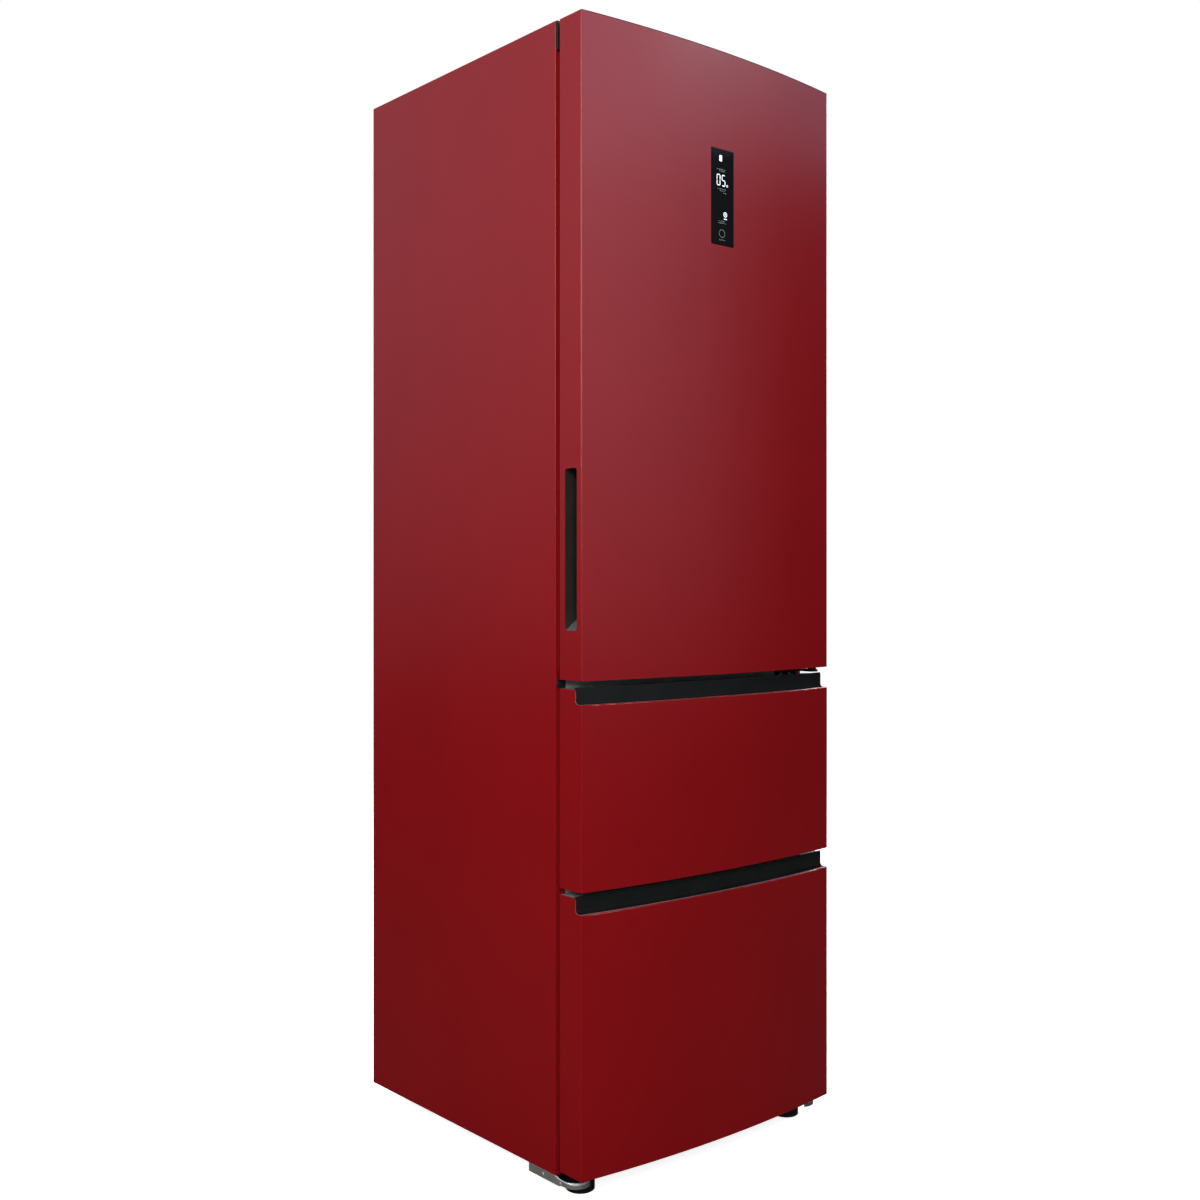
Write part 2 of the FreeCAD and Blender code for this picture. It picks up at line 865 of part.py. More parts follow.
def grommet_places():
    """Where the compressor's four rubber feet stand on the pan."""
    offsets = [Vector(side * grommet_x, end * grommet_y, 0) for side in (-1, 1) for end in (-1, 1)]
    return [compressor_middle + offset for offset in offsets]


def grommet(place):
    """A rubber foot with a waist that holds the compressor's plate."""
    head = grommet_height + foot_plate_sheet
    outline = [
        (0, 0), (grommet_radius, 0), (grommet_radius, grommet_height), (grommet_waist, grommet_height),
        (grommet_waist, head), (grommet_head, head),
        (grommet_head, head + grommet_top), (0, head + grommet_top),
    ]
    return turned(outline, place)


def compressor():
    """A sealed shell with sloped ends and a weld rim, on a plate, with its terminals and pipes."""
    x, y = compressor_middle.x, compressor_middle.y
    low = compressor_low
    shell = post(compressor_radius, x, y, low, low + compressor_height)
    shell = shell.makeChamfer(compressor_slope, round_edges(shell))
    rim = post(compressor_radius + weld_rim, x, y, low + weld_level, low + weld_level + weld_rim)
    plate_x = grommet_x + foot_plate_corner
    plate_y = grommet_y + foot_plate_corner
    plate_top = low + foot_plate_sheet
    plate = rounded_box(
        x - plate_x, x + plate_x, y - plate_y, y + plate_y, low, plate_top, foot_plate_corner, up
    )
    for place in grommet_places():
        plate = plate.cut(post(grommet_waist + seam, place.x, place.y, base, top))
    terminals = box(
        x, x + compressor_radius + terminal_depth, y - terminal_width / 2, y + terminal_width / 2,
        low + terminal_low, low + terminal_high,
    )
    pipes = []
    for side in (-pipe_spread, pipe_spread):
        start = Vector(x, y + side, low + pipe_level)
        pipes.append(bar(pipe_radius, start, start - across * (compressor_radius + pipe_reach)))
    return fused([shell, rim, plate, terminals] + pipes)


def drain_pan():
    """The tray that sits on the compressor and lets the defrost water dry off."""
    x, y = compressor_middle.x, compressor_middle.y
    low = compressor_low + compressor_height
    return tub(
        x - drain_half_width, x + drain_half_width, y - drain_half_depth, y + drain_half_depth,
        low, low + drain_height, drain_taper, drain_radius, moulding,
    )


def bay_cover():
    """The rear cover of the compressor bay, tucked behind the side flanges, with two rows of air slots and
    the hole for the gland."""
    reach = inside_half - seam
    low = base + pan_lip + seam
    first = cover_back - sheet
    cover = rounded_box(-reach, reach, first, cover_back, low, bay_top - seam, cover_corner, back)
    columns = int((reach - slot_pitch / 2) // slot_pitch)
    cuts = [bar(gland_radius + seam, gland_middle, gland_middle + back * past)]
    for column in range(-columns, columns + 1):
        x0 = column * slot_pitch - slot_width / 2
        x1 = x0 + slot_width
        for z in (low + slot_low, low + slot_low + slot_row_pitch):
            cuts.append(box(x0, x1, first - past, cover_back + past, z, z + slot_height))
    return cover.cut(Part.makeCompound(cuts))


def cord_gland():
    """The rubber bush in the bay cover for the mains lead, with a collar on the inside."""
    end = gland_collar + sheet
    outline = [
        (gland_bore, 0), (gland_rim, 0), (gland_rim, gland_collar), (gland_radius, gland_collar),
        (gland_radius, end), (gland_bore, end),
    ]
    bush = turned(outline, Vector(0, 0, 0))
    bush.rotate(Vector(0, 0, 0), across, -90)
    bush.translate(gland_middle)
    return bush


def evaporator():
    """The finned cold block behind the freezer's rear panel, with the ends of its tubes."""
    y0 = cavity_back - cover_depth + coil_front
    z0 = step_level + coil_rise
    z1 = fan_height - fan_radius - coil_drop
    reach = freezer_half - coil_side
    block = box(-reach, reach, y0, cavity_back, z0, z1)
    pitch = 2 * reach / fin_count
    gap = pitch * fin_gap_share / 2
    gaps = []
    for k in range(fin_count):
        x = -reach + pitch * (k + 0.5)
        gaps.append(box(x - gap, x + gap, y0 - past, y0 + fin_depth, z0 - past, z1 + past))
    tubes = []
    row_pitch = (z1 - z0 - 2 * tube_margin) / (tube_rows - 1)
    for k in range(tube_rows):
        middle = Vector(0, y0 + tube_inset, z0 + tube_margin + k * row_pitch)
        end = across * (reach + tube_end)
        tubes.append(bar(tube_radius, middle - end, middle + end))
    return fused([block.cut(Part.makeCompound(gaps))] + tubes)


def evaporator_cover():
    """The freezer's rear panel, with a round grille in front of the fan and return slots at the bottom."""
    reach = freezer_half - seam
    high = freezer_high - seam
    y0 = cavity_back - cover_depth
    panel = box(-reach, reach, y0, y0 + cover_sheet, step_level + seam, high)
    corners = [edge for edge in straight_edges(panel, back) if edge.BoundBox.ZMin > high - 0.01]
    panel = panel.makeFillet(liner_radius, corners)

    def slot(x, slot_wide, z0, z1):
        return box(x - slot_wide / 2, x + slot_wide / 2, y0 - past, y0 + past, z0, z1)

    cuts = []
    bars = int(fan_radius // grille_pitch)
    for k in range(-bars, bars + 1):
        tall = math.sqrt(fan_radius ** 2 - (k * grille_pitch) ** 2)
        cuts.append(slot(k * grille_pitch, grille_slot, fan_height - tall, fan_height + tall))
    returns = int((reach - return_pitch) // return_pitch)
    low = step_level + return_rise
    for k in range(-returns, returns + 1):
        cuts.append(slot(k * return_pitch, return_slot, low, low + return_height))
    return panel.cut(Part.makeCompound(cuts))


def fan_motor():
    """The fan's motor on the rear wall, with its shaft and its mounting strap."""
    face = Vector(0, cavity_back - cover_depth + motor_front, fan_height)
    body = bar(motor_radius, face, Vector(0, cavity_back, fan_height))
    shaft = bar(axle_radius, face - back * (motor_front - fan_front), face)
    strap = box(
        -motor_foot, motor_foot, cavity_back - motor_foot_sheet, cavity_back,
        fan_height - motor_foot_height / 2, fan_height + motor_foot_height / 2,
    )
    return fused([body, shaft, strap])


def evaporator_fan():
    """The air fan: a hub and pitched blades, trimmed to a circle."""
    middle = Vector(0, cavity_back - cover_depth + fan_front + fan_thickness / 2, fan_height)
    reach = back * (fan_thickness / 2)
    hub = bar(fan_hub, middle - reach, middle + reach)
    blades = []
    for k in range(blade_count):
        blade = Part.makeBox(
            fan_radius, blade_wall, blade_chord, Vector(blade_root, -blade_wall / 2, -blade_chord / 2)
        )
        blade.rotate(Vector(0, 0, 0), across, blade_pitch)
        blade.rotate(Vector(0, 0, 0), back, 360 / blade_count * k)
        blade.translate(middle)
        blades.append(blade)
    sweep = bar(fan_radius - blade_tip_gap, middle - reach * 2, middle + reach * 2)
    bore = bar(axle_radius + bore_play, middle - reach * 2, middle + reach * 2)
    return fused([hub] + blades).common(sweep).cut(bore)


def air_duct():
    """The fridge's rear air duct, with a pair of outlets over each shelf."""
    side = duct_width / 2
    y0 = cavity_back - duct_depth
    duct = box(-side, side, y0, cavity_back, crisper_cover_level + duct_foot, fridge_high - duct_head)
    duct = duct.makeFillet(duct_radius, [edge for edge in duct.Edges if edge.BoundBox.YMax < y0 + 0.01])
    cuts = []
    for level in glass_levels:
        z = level + shelf_pitch - outlet_drop
        outlet = box(
            -side + outlet_side, -outlet_middle, y0 - past, y0 + outlet_depth, z, z + outlet_height
        )
        cuts += both_sides(outlet)
    return duct.cut(Part.makeCompound(cuts))


def ceiling_light():
    """The lamp lens under the fridge's ceiling."""
    y0 = cabinet_front + lamp_front
    low = fridge_high - lamp_height
    lens = box(-lamp_width / 2, lamp_width / 2, y0, y0 + lamp_depth, low, fridge_high)
    return lens.makeFillet(lamp_radius, [edge for edge in lens.Edges if edge.BoundBox.ZMax < low + 0.01])


def shelf_planes():
    """Where a shelf's glass ends at the sides, begins in depth and ends there."""
    rear = cavity_back - duct_depth - shelf_rear_gap
    return fridge_half - shelf_side_gap, cabinet_front + shelf_front, rear


def glass_shelf(level):
    """A glass plate that lies on the liner's ledges."""
    reach, y0, y1 = shelf_planes()
    return rounded_box(-reach, reach, y0, y1, level, level + shelf_glass, shelf_radius, up)


def shelf_trims(level):
    """The front and rear edge mouldings of one shelf, each with a slot for the glass."""
    reach, y0, y1 = shelf_planes()
    play = seam / 2
    high = level + shelf_glass
    nose = rounded_box(
        -reach, reach, y0 - nose_front, y0 + nose_lap, level - nose_below, high + nose_above,
        nose_radius, across,
    )
    inner = fridge_half - ledge - stop_gap
    stop = box(-inner, inner, y1 - stop_lap, y1 + stop_rear, level - stop_below, high + stop_above)
    glass = box(-reach - past, reach + past, y0 - play, y1 + play, level - play, high + play)
    return [nose.cut(glass), stop.cut(glass)]


def crisper_drawer():
    """The vegetable drawer: a tapered tub with a pull lip along its front."""
    y0 = cabinet_front + crisper_front
    reach = fridge_half - crisper_side
    low = fridge_low + seam
    rim = low + crisper_height
    body = tub(
        -reach, reach, y0, cavity_back - crisper_rear, low, rim, crisper_taper, crisper_radius, basket_wall
    )
    pull = reach - pull_side
    lip = rounded_box(-pull, pull, y0 - pull_depth, y0 + 1, rim - pull_height, rim, pull_radius, across)
    return fused([body, lip])


def door_skin():
    """The door's outer sheet: bowed front, sides and rear returns, cut for the display and the grip."""
    outer = bowed_slab(half, 0, door_back, door_bottom, door_top)
    outer = outer.makeFillet(corner_radius, front_corner_edges(outer))
    inner = bowed_slab(inside_half, sheet, door_back - sheet, door_bottom - past, door_top + past)
    inner = inner.makeFillet(corner_radius - sheet, front_corner_edges(inner))
    mouth = half - skin_return
    rear = box(-mouth, mouth, door_back - past, door_back + past, door_bottom - past, door_top + past)
    return outer.cut(inner).cut(rear).cut(display_window(seam)).cut(grip_pocket(0))


def display_window(grow):
    """The space that the display fills, seen from the front."""
    reach = display_width / 2 + grow
    low = display_centre - display_height / 2 - grow
    high = display_centre + display_height / 2 + grow
    rear = front + display_depth + grow
    return rounded_box(-reach, reach, front - past, rear, low, high, display_corner, back)


def display_panel():
    """The display: a dark glass that follows the bow and stands a little proud of it."""
    bowed = bowed_slab(display_width, -display_stand, front + display_depth, door_bottom, door_top)
    return bowed.common(display_window(0))


def grip_pocket(grow):
    """The space of the grip in the door's left side."""
    y0 = front_corner + grip_front - grow
    y1 = front_corner + grip_front + grip_width + grow
    inner = -half + grip_depth + grow
    return rounded_box(
        -half - past, inner, y0, y1, grip_low - grow, grip_high + grow, grip_corner + grow, across
    )


def side_grip():
    """The cup set into the door's left side, with a sloped lower end."""
    inside = -inside_half + seam
    cup = grip_pocket(moulding).common(box(inside, 0, front, door_back, door_bottom, door_top))
    embed = moulding / 2
    y0 = front_corner + grip_front - embed
    corners = [
        Vector(inside, y0, grip_low - embed),
        Vector(-half + grip_depth + embed, y0, grip_low - embed),
        Vector(-half + grip_depth + embed, y0, grip_low + ramp_rise),
    ]
    ramp = Part.Face(Part.makePolygon(corners + corners[:1])).extrude(back * (grip_width + 2 * embed))
    return cup.cut(grip_pocket(0)).fuse(ramp.common(grip_pocket(embed))).removeSplitter()


def door_cap(z0, z1):
    """An end cap inside the door's sheet, with a seat for the hinge bush."""
    cap = bowed_slab(inside_half - seam, sheet + seam, door_back - sheet - seam, z0, z1)
    cap = cap.makeFillet(corner_radius, front_corner_edges(cap))
    return cap.cut(post(bush_radius, pin_x, pin_y, z0 - past, z1 + past))


def bush_levels():
    """The lower and upper ends of the two hinge bushes."""
    tall = pin_length + bush_floor
    return ((door_bottom, door_bottom + tall), (door_top - tall, door_top))


def hinge_bush(low, high):
    """A bearing sleeve in one end of the door."""
    sleeve = post(bush_radius, pin_x, pin_y, low, high)
    return sleeve.cut(post(pin_radius + bore_play, pin_x, pin_y, low - past, high + past))


def door_foam():
    """The door's insulation, cut for the caps, the bushes, the display and the grip."""
    core = bowed_slab(
        inside_half - seam, sheet + seam, door_back - liner_wall - seam,
        door_bottom + cap_height + seam, door_top - cap_height - seam,
    )
    core = core.makeFillet(corner_radius, front_corner_edges(core))
    for low, high in bush_levels():
        core = core.cut(post(bush_radius + seam, pin_x, pin_y, low - seam, high + seam))
    return core.cut(display_window(seam)).cut(grip_pocket(moulding + seam))


def door_liner():
    """The door's inner panel: a flat sheet, a raised rim round the shelves and the lugs for them."""
    mouth = half - skin_return - seam
    floor = door_bottom + cap_height + seam
    ceiling = door_top - cap_height - seam
    panel = box(-mouth, mouth, door_back - liner_wall, door_back, floor, ceiling)
    crest = cabinet_front + dyke_reach
    low = fridge_low + dyke_end
    high = fridge_high - dyke_end
    dyke = rounded_box(-dyke_half, dyke_half, door_back, crest, low, high, dyke_corner, back)
    inner = dyke_half - dyke_wall
    dyke = dyke.cut(rounded_box(
        -inner, inner, door_back - past, crest + past, low + dyke_wall, high - dyke_wall,
        dyke_corner - dyke_wall, back,
    ))
    dyke = dyke.makeFillet(crest_radius, [e for e in dyke.Edges if e.BoundBox.YMin > crest - 0.01])
    lugs = []
    for level in [bottle_level] + balcony_levels:
        lugs += both_sides(balcony_lug(level, 0))
    return fused([panel, dyke] + lugs)


def balcony_lug(level, play):
    """A lug on the raised rim's left inner wall that holds one end of a door shelf."""
    wall = -dyke_half + dyke_wall
    y0 = door_back + lug_setback
    z0 = level + lug_rise
    reach = wall + balcony_gap + balcony_wall
    return box(wall - lug_root, reach, y0 - play, y0 + lug_length + play, z0 - play, z0 + lug_height)


def balcony(level, tall):
    """A door shelf: an open tray with rounded corners and a slot over each lug."""
    tray = tub(
        -balcony_half, balcony_half, door_back + seam, cabinet_front + balcony_reach, level, level + tall,
        balcony_taper, balcony_radius, balcony_wall,
    )
    for lug in both_sides(balcony_lug(level, seam)):
        way_in = lug.copy()
        way_in.translate(Vector(0, 0, -lug_height / 2))
        tray = tray.cut(lug).cut(way_in)
    return tray


def gasket_ring(reach, y0, y1, z0, z1, border):
    """A rectangular frame that stands upright and faces the front."""
    inner = reach - border
    mouth = box(-inner, inner, y0 - past, y1 + past, z0 + border, z1 - border)
    return box(-reach, reach, y0, y1, z0, z1).cut(mouth)


def gasket(low, high):
    """A magnetic seal: a frame with a neck on the door side and a wider bulb on the cabinet side."""
    middle = door_back + gasket_foot
    inset = (gasket_width - gasket_neck) / 2
    neck = gasket_ring(gasket_out - inset, door_back, middle, low + inset, high - inset, gasket_neck)
    bulb = gasket_ring(gasket_out, middle, cabinet_front - running, low, high, gasket_width)
    return fused([neck, bulb])


def drawer_skin(low, lip, high):
    """A drawer's outer sheet: a bowed front that ends at the lip, and sides that are notched over it."""
    outer = bowed_slab(half, 0, door_back, low, high)
    notch = bowed_strip(half + past, -bow * 2, notch_depth, lip, high + past)
    foot = [edge for edge in bowed_edges(notch, lip) if edge.BoundBox.YMin > front]
    outer = outer.cut(notch.makeFillet(notch_radius, foot))
    rim = [edge for edge in bowed_edges(outer, lip) if edge.BoundBox.YMin < front + 0.5]
    outer = outer.makeFillet(rim_radius, front_corner_edges(outer) + rim)
    below = bowed_slab(inside_half, sheet, door_back - sheet, low - past, lip - sheet)
    below = below.makeFillet(rim_radius - sheet / 2, front_corner_edges(below))
    above = bowed_slab(inside_half, lip_hem, door_back - sheet, lip - sheet - past, high + past)
    mouth = half - skin_return
    rear = box(-mouth, mouth, door_back - past, door_back + past, low - past, high + past)
    return outer.cut(below).cut(above).cut(rear)


def drawer_grip(lip, high):
    """The grip moulding: a finger channel behind the lip, the notch's wall with an upstand, and the top."""
    reach = inside_half - seam
    first = lip_hem + seam
    wall_back = notch_depth + moulding
    low = lip - groove_depth
    lip_wall = bowed_strip(reach, first, first + moulding, low, lip)
    floor = bowed_strip(reach, first, wall_back, low, low + moulding)
    wall = bowed_strip(reach, notch_depth, wall_back, low, high + grip_upstand)
    cap = bowed_slab(reach, notch_depth, door_back - sheet - seam, high - moulding, high)
    return fused([lip_wall, floor, wall, cap])


def drawer_panel(low, lip, high, mouth_low, mouth_high):
    """A drawer's insulated inner panel, with a plug that enters the cabinet's opening."""
    floor = low + seam
    ceiling = high - moulding - seam
    rear = door_back - sheet - seam
    core = bowed_slab(inside_half - seam, sheet + seam, rear, floor, ceiling)
    core = core.makeFillet(corner_radius, front_corner_edges(core))
    channel_back = notch_depth + moulding + seam
    channel = bowed_strip(half + past, -bow * 2, channel_back, lip - groove_depth - seam, high + past)
    mouth = half - skin_return - seam
    face = box(-mouth, mouth, rear - past, door_back, floor, ceiling)
    plug_half = freezer_half - plug_clearance
    plug = rounded_box(
        -plug_half, plug_half, rear - past, cabinet_front + plug_reach,
        mouth_low + plug_clearance, mouth_high - plug_clearance, plug_radius, back,
    )
    return fused([core.cut(channel), face, plug])


def slide_member(u0, u1, tall, y0, y1, level):
    """A C-shaped slide member on the left, measured from the freezer's wall inwards."""
    x0 = -freezer_half + u0
    x1 = -freezer_half + u1
    low = level - tall / 2
    high = level + tall / 2
    hollow = box(x0 + slide_wall, x1 + past, y0 - past, y1 + past, low + slide_wall, high - slide_wall)
    return box(x0, x1, y0, y1, low, high).cut(hollow)


def slide_channel(level):
    """The fixed outer member of a telescopic slide."""
    y0 = cabinet_front + slide_start
    return slide_member(0, slide_depth, slide_height, y0, y0 + slide_length, level)


def slide_middle(level):
    """The middle member, which runs half as far as the drawer."""
    y0 = cabinet_front + slide_start + middle_setback
    tall = slide_height - 2 * (slide_wall + running)
    u0 = slide_wall + running * 2
    return slide_member(u0, slide_depth - running * 2, tall, y0, y0 + slide_length - middle_shorter, level)


def drawer_rail(level):
    """The inner member: a bar in the slide, a stem, and the angle that carries the basket."""
    y0 = cabinet_front + plug_reach
    y1 = y0 + slide_length - rail_shorter
    track = -freezer_half + 2 * slide_wall + 4 * running
    web = -freezer_half + slide_depth + slide_wall
    tall = slide_height / 2 - 2 * (slide_wall + running)
    low = level - angle_drop
    high = level + angle_rise
    stem = stem_height / 2
    return fused([
        box(track, track + track_wall, y0 + track_setback, y1, level - tall, level + tall),
        box(track + slide_wall, web + slide_wall, y0, y1, level - stem, level + stem),
        box(web, web + slide_wall, y0, y1, low, high),
        box(web, web + angle_ledge - slide_wall, y0, y1, high - slide_wall, high),
        box(web, web + tongue_width - slide_wall, y0, y0 + tongue_sheet, low, high),
    ])


def freezer_basket(level, mouth_low, mouth_high, rear):
    """A freezer basket: a tapered tub that hangs by a flange on each of the two rails."""
    reach = freezer_half - slide_depth - basket_side
    y0 = cabinet_front + plug_reach + basket_front
    hang = level + angle_rise
    flange_out = freezer_half - slide_depth - flange_side
    strip = box(-flange_out, -reach + past, y0 + flange_end, rear - flange_end, hang, hang + basket_flange)
    return tub(
        -reach, reach, y0, rear, mouth_low + basket_floor, mouth_high - basket_head,
        basket_taper, basket_radius, basket_wall, both_sides(strip),
    )


def build_cabinet():
    """Write the cabinet's shell, insulation, liners, trim and hinges."""
    left = side_panel()
    export("left_side_panel", left)
    export("right_side_panel", mirrored(left))
    export("top_panel", top_panel())
    export("back_panel", back_panel())
    export("base_pan", base_pan())
    export("front_rails", [front_rail(low, high) for low, high in rail_levels])
    export("cabinet_foam", foam_slabs())
    export("fridge_liner", fridge_liner())
    export("freezer_liner", freezer_liner())
    export("drawer_crossbar", drawer_crossbar())
    export("top_trim", top_trim())
    export("upper_hinge", upper_hinge())
    export("middle_hinge", middle_hinge())
    export("hinge_cover", hinge_cover())


def build_underside():
    """Write the feet, the rollers and what the compressor bay holds."""
    export("foot_brackets", both_sides(foot_bracket()))
    foot = front_foot()
    export("left_front_foot", foot)
    export("right_front_foot", mirrored(foot))
    export("roller_brackets", both_sides(roller_bracket()))
    roller = rear_roller()
    export("left_rear_roller", roller)
    export("right_rear_roller", mirrored(roller))
    export("compressor", compressor())
    export("compressor_grommets", [grommet(place) for place in grommet_places()])
    export("drain_pan", drain_pan())
    export("bay_cover", bay_cover())
    export("cord_gland", cord_gland())


def build_inside():
    """Write what the fridge and the freezer hold."""
    export("evaporator", evaporator())
    export("evaporator_cover", evaporator_cover())
    export("fan_motor", fan_motor())
    export("evaporator_fan", evaporator_fan())
    export("air_duct", air_duct())
    export("ceiling_light", ceiling_light())
    export("crisper_cover", glass_shelf(crisper_cover_level))
    export("glass_shelves", [glass_shelf(level) for level in shelf_levels])
    trims = []
    for level in glass_levels:
        trims += shelf_trims(level)
    export("shelf_trims", trims)
    export("crisper_drawer", crisper_drawer())
    channels = []
    for level in (upper_slide, lower_slide):
        channels += both_sides(slide_channel(level))
    export("slide_channels", channels)


def build_door():
    """Write the nodes that turn with the fridge door."""
    export("door_skin", door_skin())
    export("door_foam", door_foam())
    export("door_liner", door_liner())
    upper_cap = door_cap(door_top - cap_height, door_top)
    export("door_caps", [upper_cap, door_cap(door_bottom, door_bottom + cap_height)])
    export("door_hinge_bushes", [hinge_bush(low, high) for low, high in bush_levels()])
    export("door_gasket", gasket(door_bottom + gasket_end, door_gasket_high))
    export("door_side_grip", side_grip())
    export("display_panel", display_panel())
    export("bottle_balcony", balcony(bottle_level, bottle_height))
    export("door_balconies", [balcony(level, balcony_height) for level in balcony_levels])


def build_drawer(name, low, lip, high, mouth_low, mouth_high, level, rear):
    """Write the nodes that slide with one freezer drawer."""
    export(name + "_skin", drawer_skin(low, lip, high))
    export(name + "_grip", drawer_grip(lip, high))
    export(name + "_panel", drawer_panel(low, lip, high, mouth_low, mouth_high))
    export(name + "_gasket", gasket(low + gasket_end, high - gasket_end))
    export(name + "_rails", both_sides(drawer_rail(level)))
    export(name + "_slides", both_sides(slide_middle(level)))
    export(name + "_basket", freezer_basket(level, mouth_low, mouth_high, rear - basket_gap))


build_cabinet()
build_underside()
build_inside()
build_door()
build_drawer(
    "upper_drawer", upper_bottom, upper_lip, upper_top, bar_high, freezer_high, upper_slide,
    cavity_back - cover_depth,
)
build_drawer(
    "lower_drawer", lower_bottom, lower_lip, lower_top, freezer_low, bar_low, lower_slide, step_front
)
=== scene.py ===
import json
import math

import bmesh
import bpy
import numpy as np
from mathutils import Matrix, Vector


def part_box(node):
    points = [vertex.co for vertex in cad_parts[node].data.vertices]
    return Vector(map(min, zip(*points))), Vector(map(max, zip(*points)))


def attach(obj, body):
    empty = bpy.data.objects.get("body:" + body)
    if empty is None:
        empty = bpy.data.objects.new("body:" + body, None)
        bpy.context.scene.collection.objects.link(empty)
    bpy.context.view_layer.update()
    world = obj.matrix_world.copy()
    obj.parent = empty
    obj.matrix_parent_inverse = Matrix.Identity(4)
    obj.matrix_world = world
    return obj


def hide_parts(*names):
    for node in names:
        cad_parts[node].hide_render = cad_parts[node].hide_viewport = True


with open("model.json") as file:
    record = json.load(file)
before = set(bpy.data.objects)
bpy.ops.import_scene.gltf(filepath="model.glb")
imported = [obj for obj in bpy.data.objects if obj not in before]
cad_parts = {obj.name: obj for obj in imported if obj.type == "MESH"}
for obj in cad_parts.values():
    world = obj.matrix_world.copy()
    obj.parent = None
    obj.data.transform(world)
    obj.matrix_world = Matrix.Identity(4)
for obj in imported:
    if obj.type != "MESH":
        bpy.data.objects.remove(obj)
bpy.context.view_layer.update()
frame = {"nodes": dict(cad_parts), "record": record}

# Lengths are in metres; mm turns a size written in millimetres into them.
mm = 0.001

# Meshes: points nearer than this are one, and edges that turn by more than this are sharp
weld = 0.001 * mm
sharp_turn = math.radians(40)

# Steps along a curve across the whole width
width_steps = 60

# Finishes: how high a bump is, and how far up a face looks where its painted top light begins and is full
bump_height = 0.2 * mm
painted_top_light_range = (0.25, 0.85)

# The bowed front, as the outer sheets have it
bow = 20 * mm
door_low, door_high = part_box("door_skin")
half_width = door_high.x
front = door_low.y
bow_radius = (half_width ** 2 + bow ** 2) / (2 * bow)
door_back = door_high.y
cabinet_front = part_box("left_side_panel")[0].y

# Display: how far the panel stands on the door, how deep its glass lies in the frame, and its lit digits
display_stand = 0.4 * mm
glass_depth = 0.2 * mm
glass_corner = 3 * mm
glass_bevel = 0.6 * mm
mark_rise = 0.12 * mm
digit_wide, digit_tall, digit_thick = 7.2 * mm, 18 * mm, 1.6 * mm
digit_gap = 0.5 * mm
digit_drop = 53.6 * mm
digit_bars = ("abcdef", "acdfg")
digit_places = (-9.8 * mm, 2.3 * mm)

# The display's other marks, each with its x and its drop from the top: a lit key, rings with a radius and a
# thickness, a bar with a length and a thickness, and rows of printed strokes with a length
key_x, key_drop = -4.6 * mm, 16.2 * mm
key_half = (3.2 * mm, 5.1 * mm)
key_corner = 0.9 * mm
lit_rings = np.array([[11.2, 61.4, 2.0, 0.8], [6.6, 111.4, 4.4, 1.3], [6.6, 111.4, 1.4, 1.3]]) * mm
bar_x, bar_drop, bar_long, bar_thick = np.array([6.8, 118.9, 8.0, 1.6]) * mm
ring_key = np.array([-1.4, 144.8, 6.9, 0.5]) * mm
print_rows = np.array([
    [-2.8, 35.2, 22], [-1.0, 38.2, 15], [-2.0, 68.8, 22], [0.0, 71.8, 13], [5.0, 75.0, 9],
    [-2.0, 123.6, 16], [-1.2, 127.0, 20], [-1.2, 155.6, 15],
]) * mm
stroke_sizes = np.array([1.7, 0.9, 1.3, 2.1, 1.1]) * mm
stroke_thick = 1.1 * mm
stroke_gap = 0.7 * mm
stroke_pitch = 2.1 * mm

# Door and drawer seals: the swell starts and runs by shares of the depth, and a high power blunts both ends
seal_steps = 26
seal_band = 14 * mm
seal_neck = 4.2 * mm
seal_swell = 2.4 * mm
swell_start, swell_run = 0.3, 0.45
seal_blunt = 9
seal_fold = 0.8 * mm
seal_folds = 3
seal_mitre = 3 * mm

# Drawer fronts: the notch over the lip, the bare edge of the sheet round it, drawn pale as partly a painted
# highlight, with the step between its stretches and how far from the front corner the side's ends and the
# lip's begins, and the panel's white, which reaches a little into the sheet
notch_depth = 16 * mm
notch_radius = 6 * mm
rear_steps, arc_steps, side_steps = 6, 7, 4
groove_depth = 22 * mm
edge_radius = 0.45 * mm
edge_inset = 1 * mm
edge_behind = 2.2 * mm
edge_step = 1 * mm
side_end = 4 * mm
lip_start = 2 * mm
white_reach = 1 * mm

# Door: the rim of its top cap, over the front sheet's edge
cap_rim = 0.8 * mm
cap_proud = 0.2 * mm
cap_inset = 1.5 * mm

# Front brackets: the strip's thickness, its nose, the levels of its edges and where they change, counted
# forward from the cabinet's front, and the rolled edge on top, drawn in pale zinc as a painted highlight
bracket_sheet = 2 * mm
run_steps = 19
nose_steps = 28
nose_radius = 24 * mm
nose_forward = 22 * mm
nose_turn = math.radians(120)
nose_top = 28 * mm
nose_foot = 19.5 * mm
flange_foot = 17 * mm
top_fall = (-8 * mm, 12 * mm)
foot_rise = (8 * mm, 14 * mm)
edge_thin = 1.2 * mm
edge_thick = 2.6 * mm
rivet_places = ((-203 * mm, 24.5 * mm), (-248 * mm, 22.8 * mm))

# Behind the strip: the shelf's levels and reach, the seat under the cabinet, the nut and the foot's stud
shelf_steps = 96
bracket_shelf = (20 * mm, 22.5 * mm)
shelf_ahead = 14 * mm
seat_behind = 14 * mm
bracket_inset = 1 * mm
nut_radius = 9 * mm
nut_tall = 6.8 * mm
stud_radius = 4.8 * mm
stud_play = 0.4 * mm

# Front feet: the levels up the cup, how far inside its full radius the cup is at each, where the stud starts
# over the cup, how far under its end its bevel and its crown begin, and its share of its radius at the crown
cup_levels = np.array([0, 0.2, 1.4, 8.0, 15.0, 16.6, 18.0, 19.0]) * mm
cup_drop = np.array([2.0, 1.4, 0, 0, 0, 0.5, 2.0, 5.0]) * mm
stud_start = 0.1 * mm
stud_bevel = 1 * mm
stud_crown = 0.2 * mm
stud_end_share = 0.8

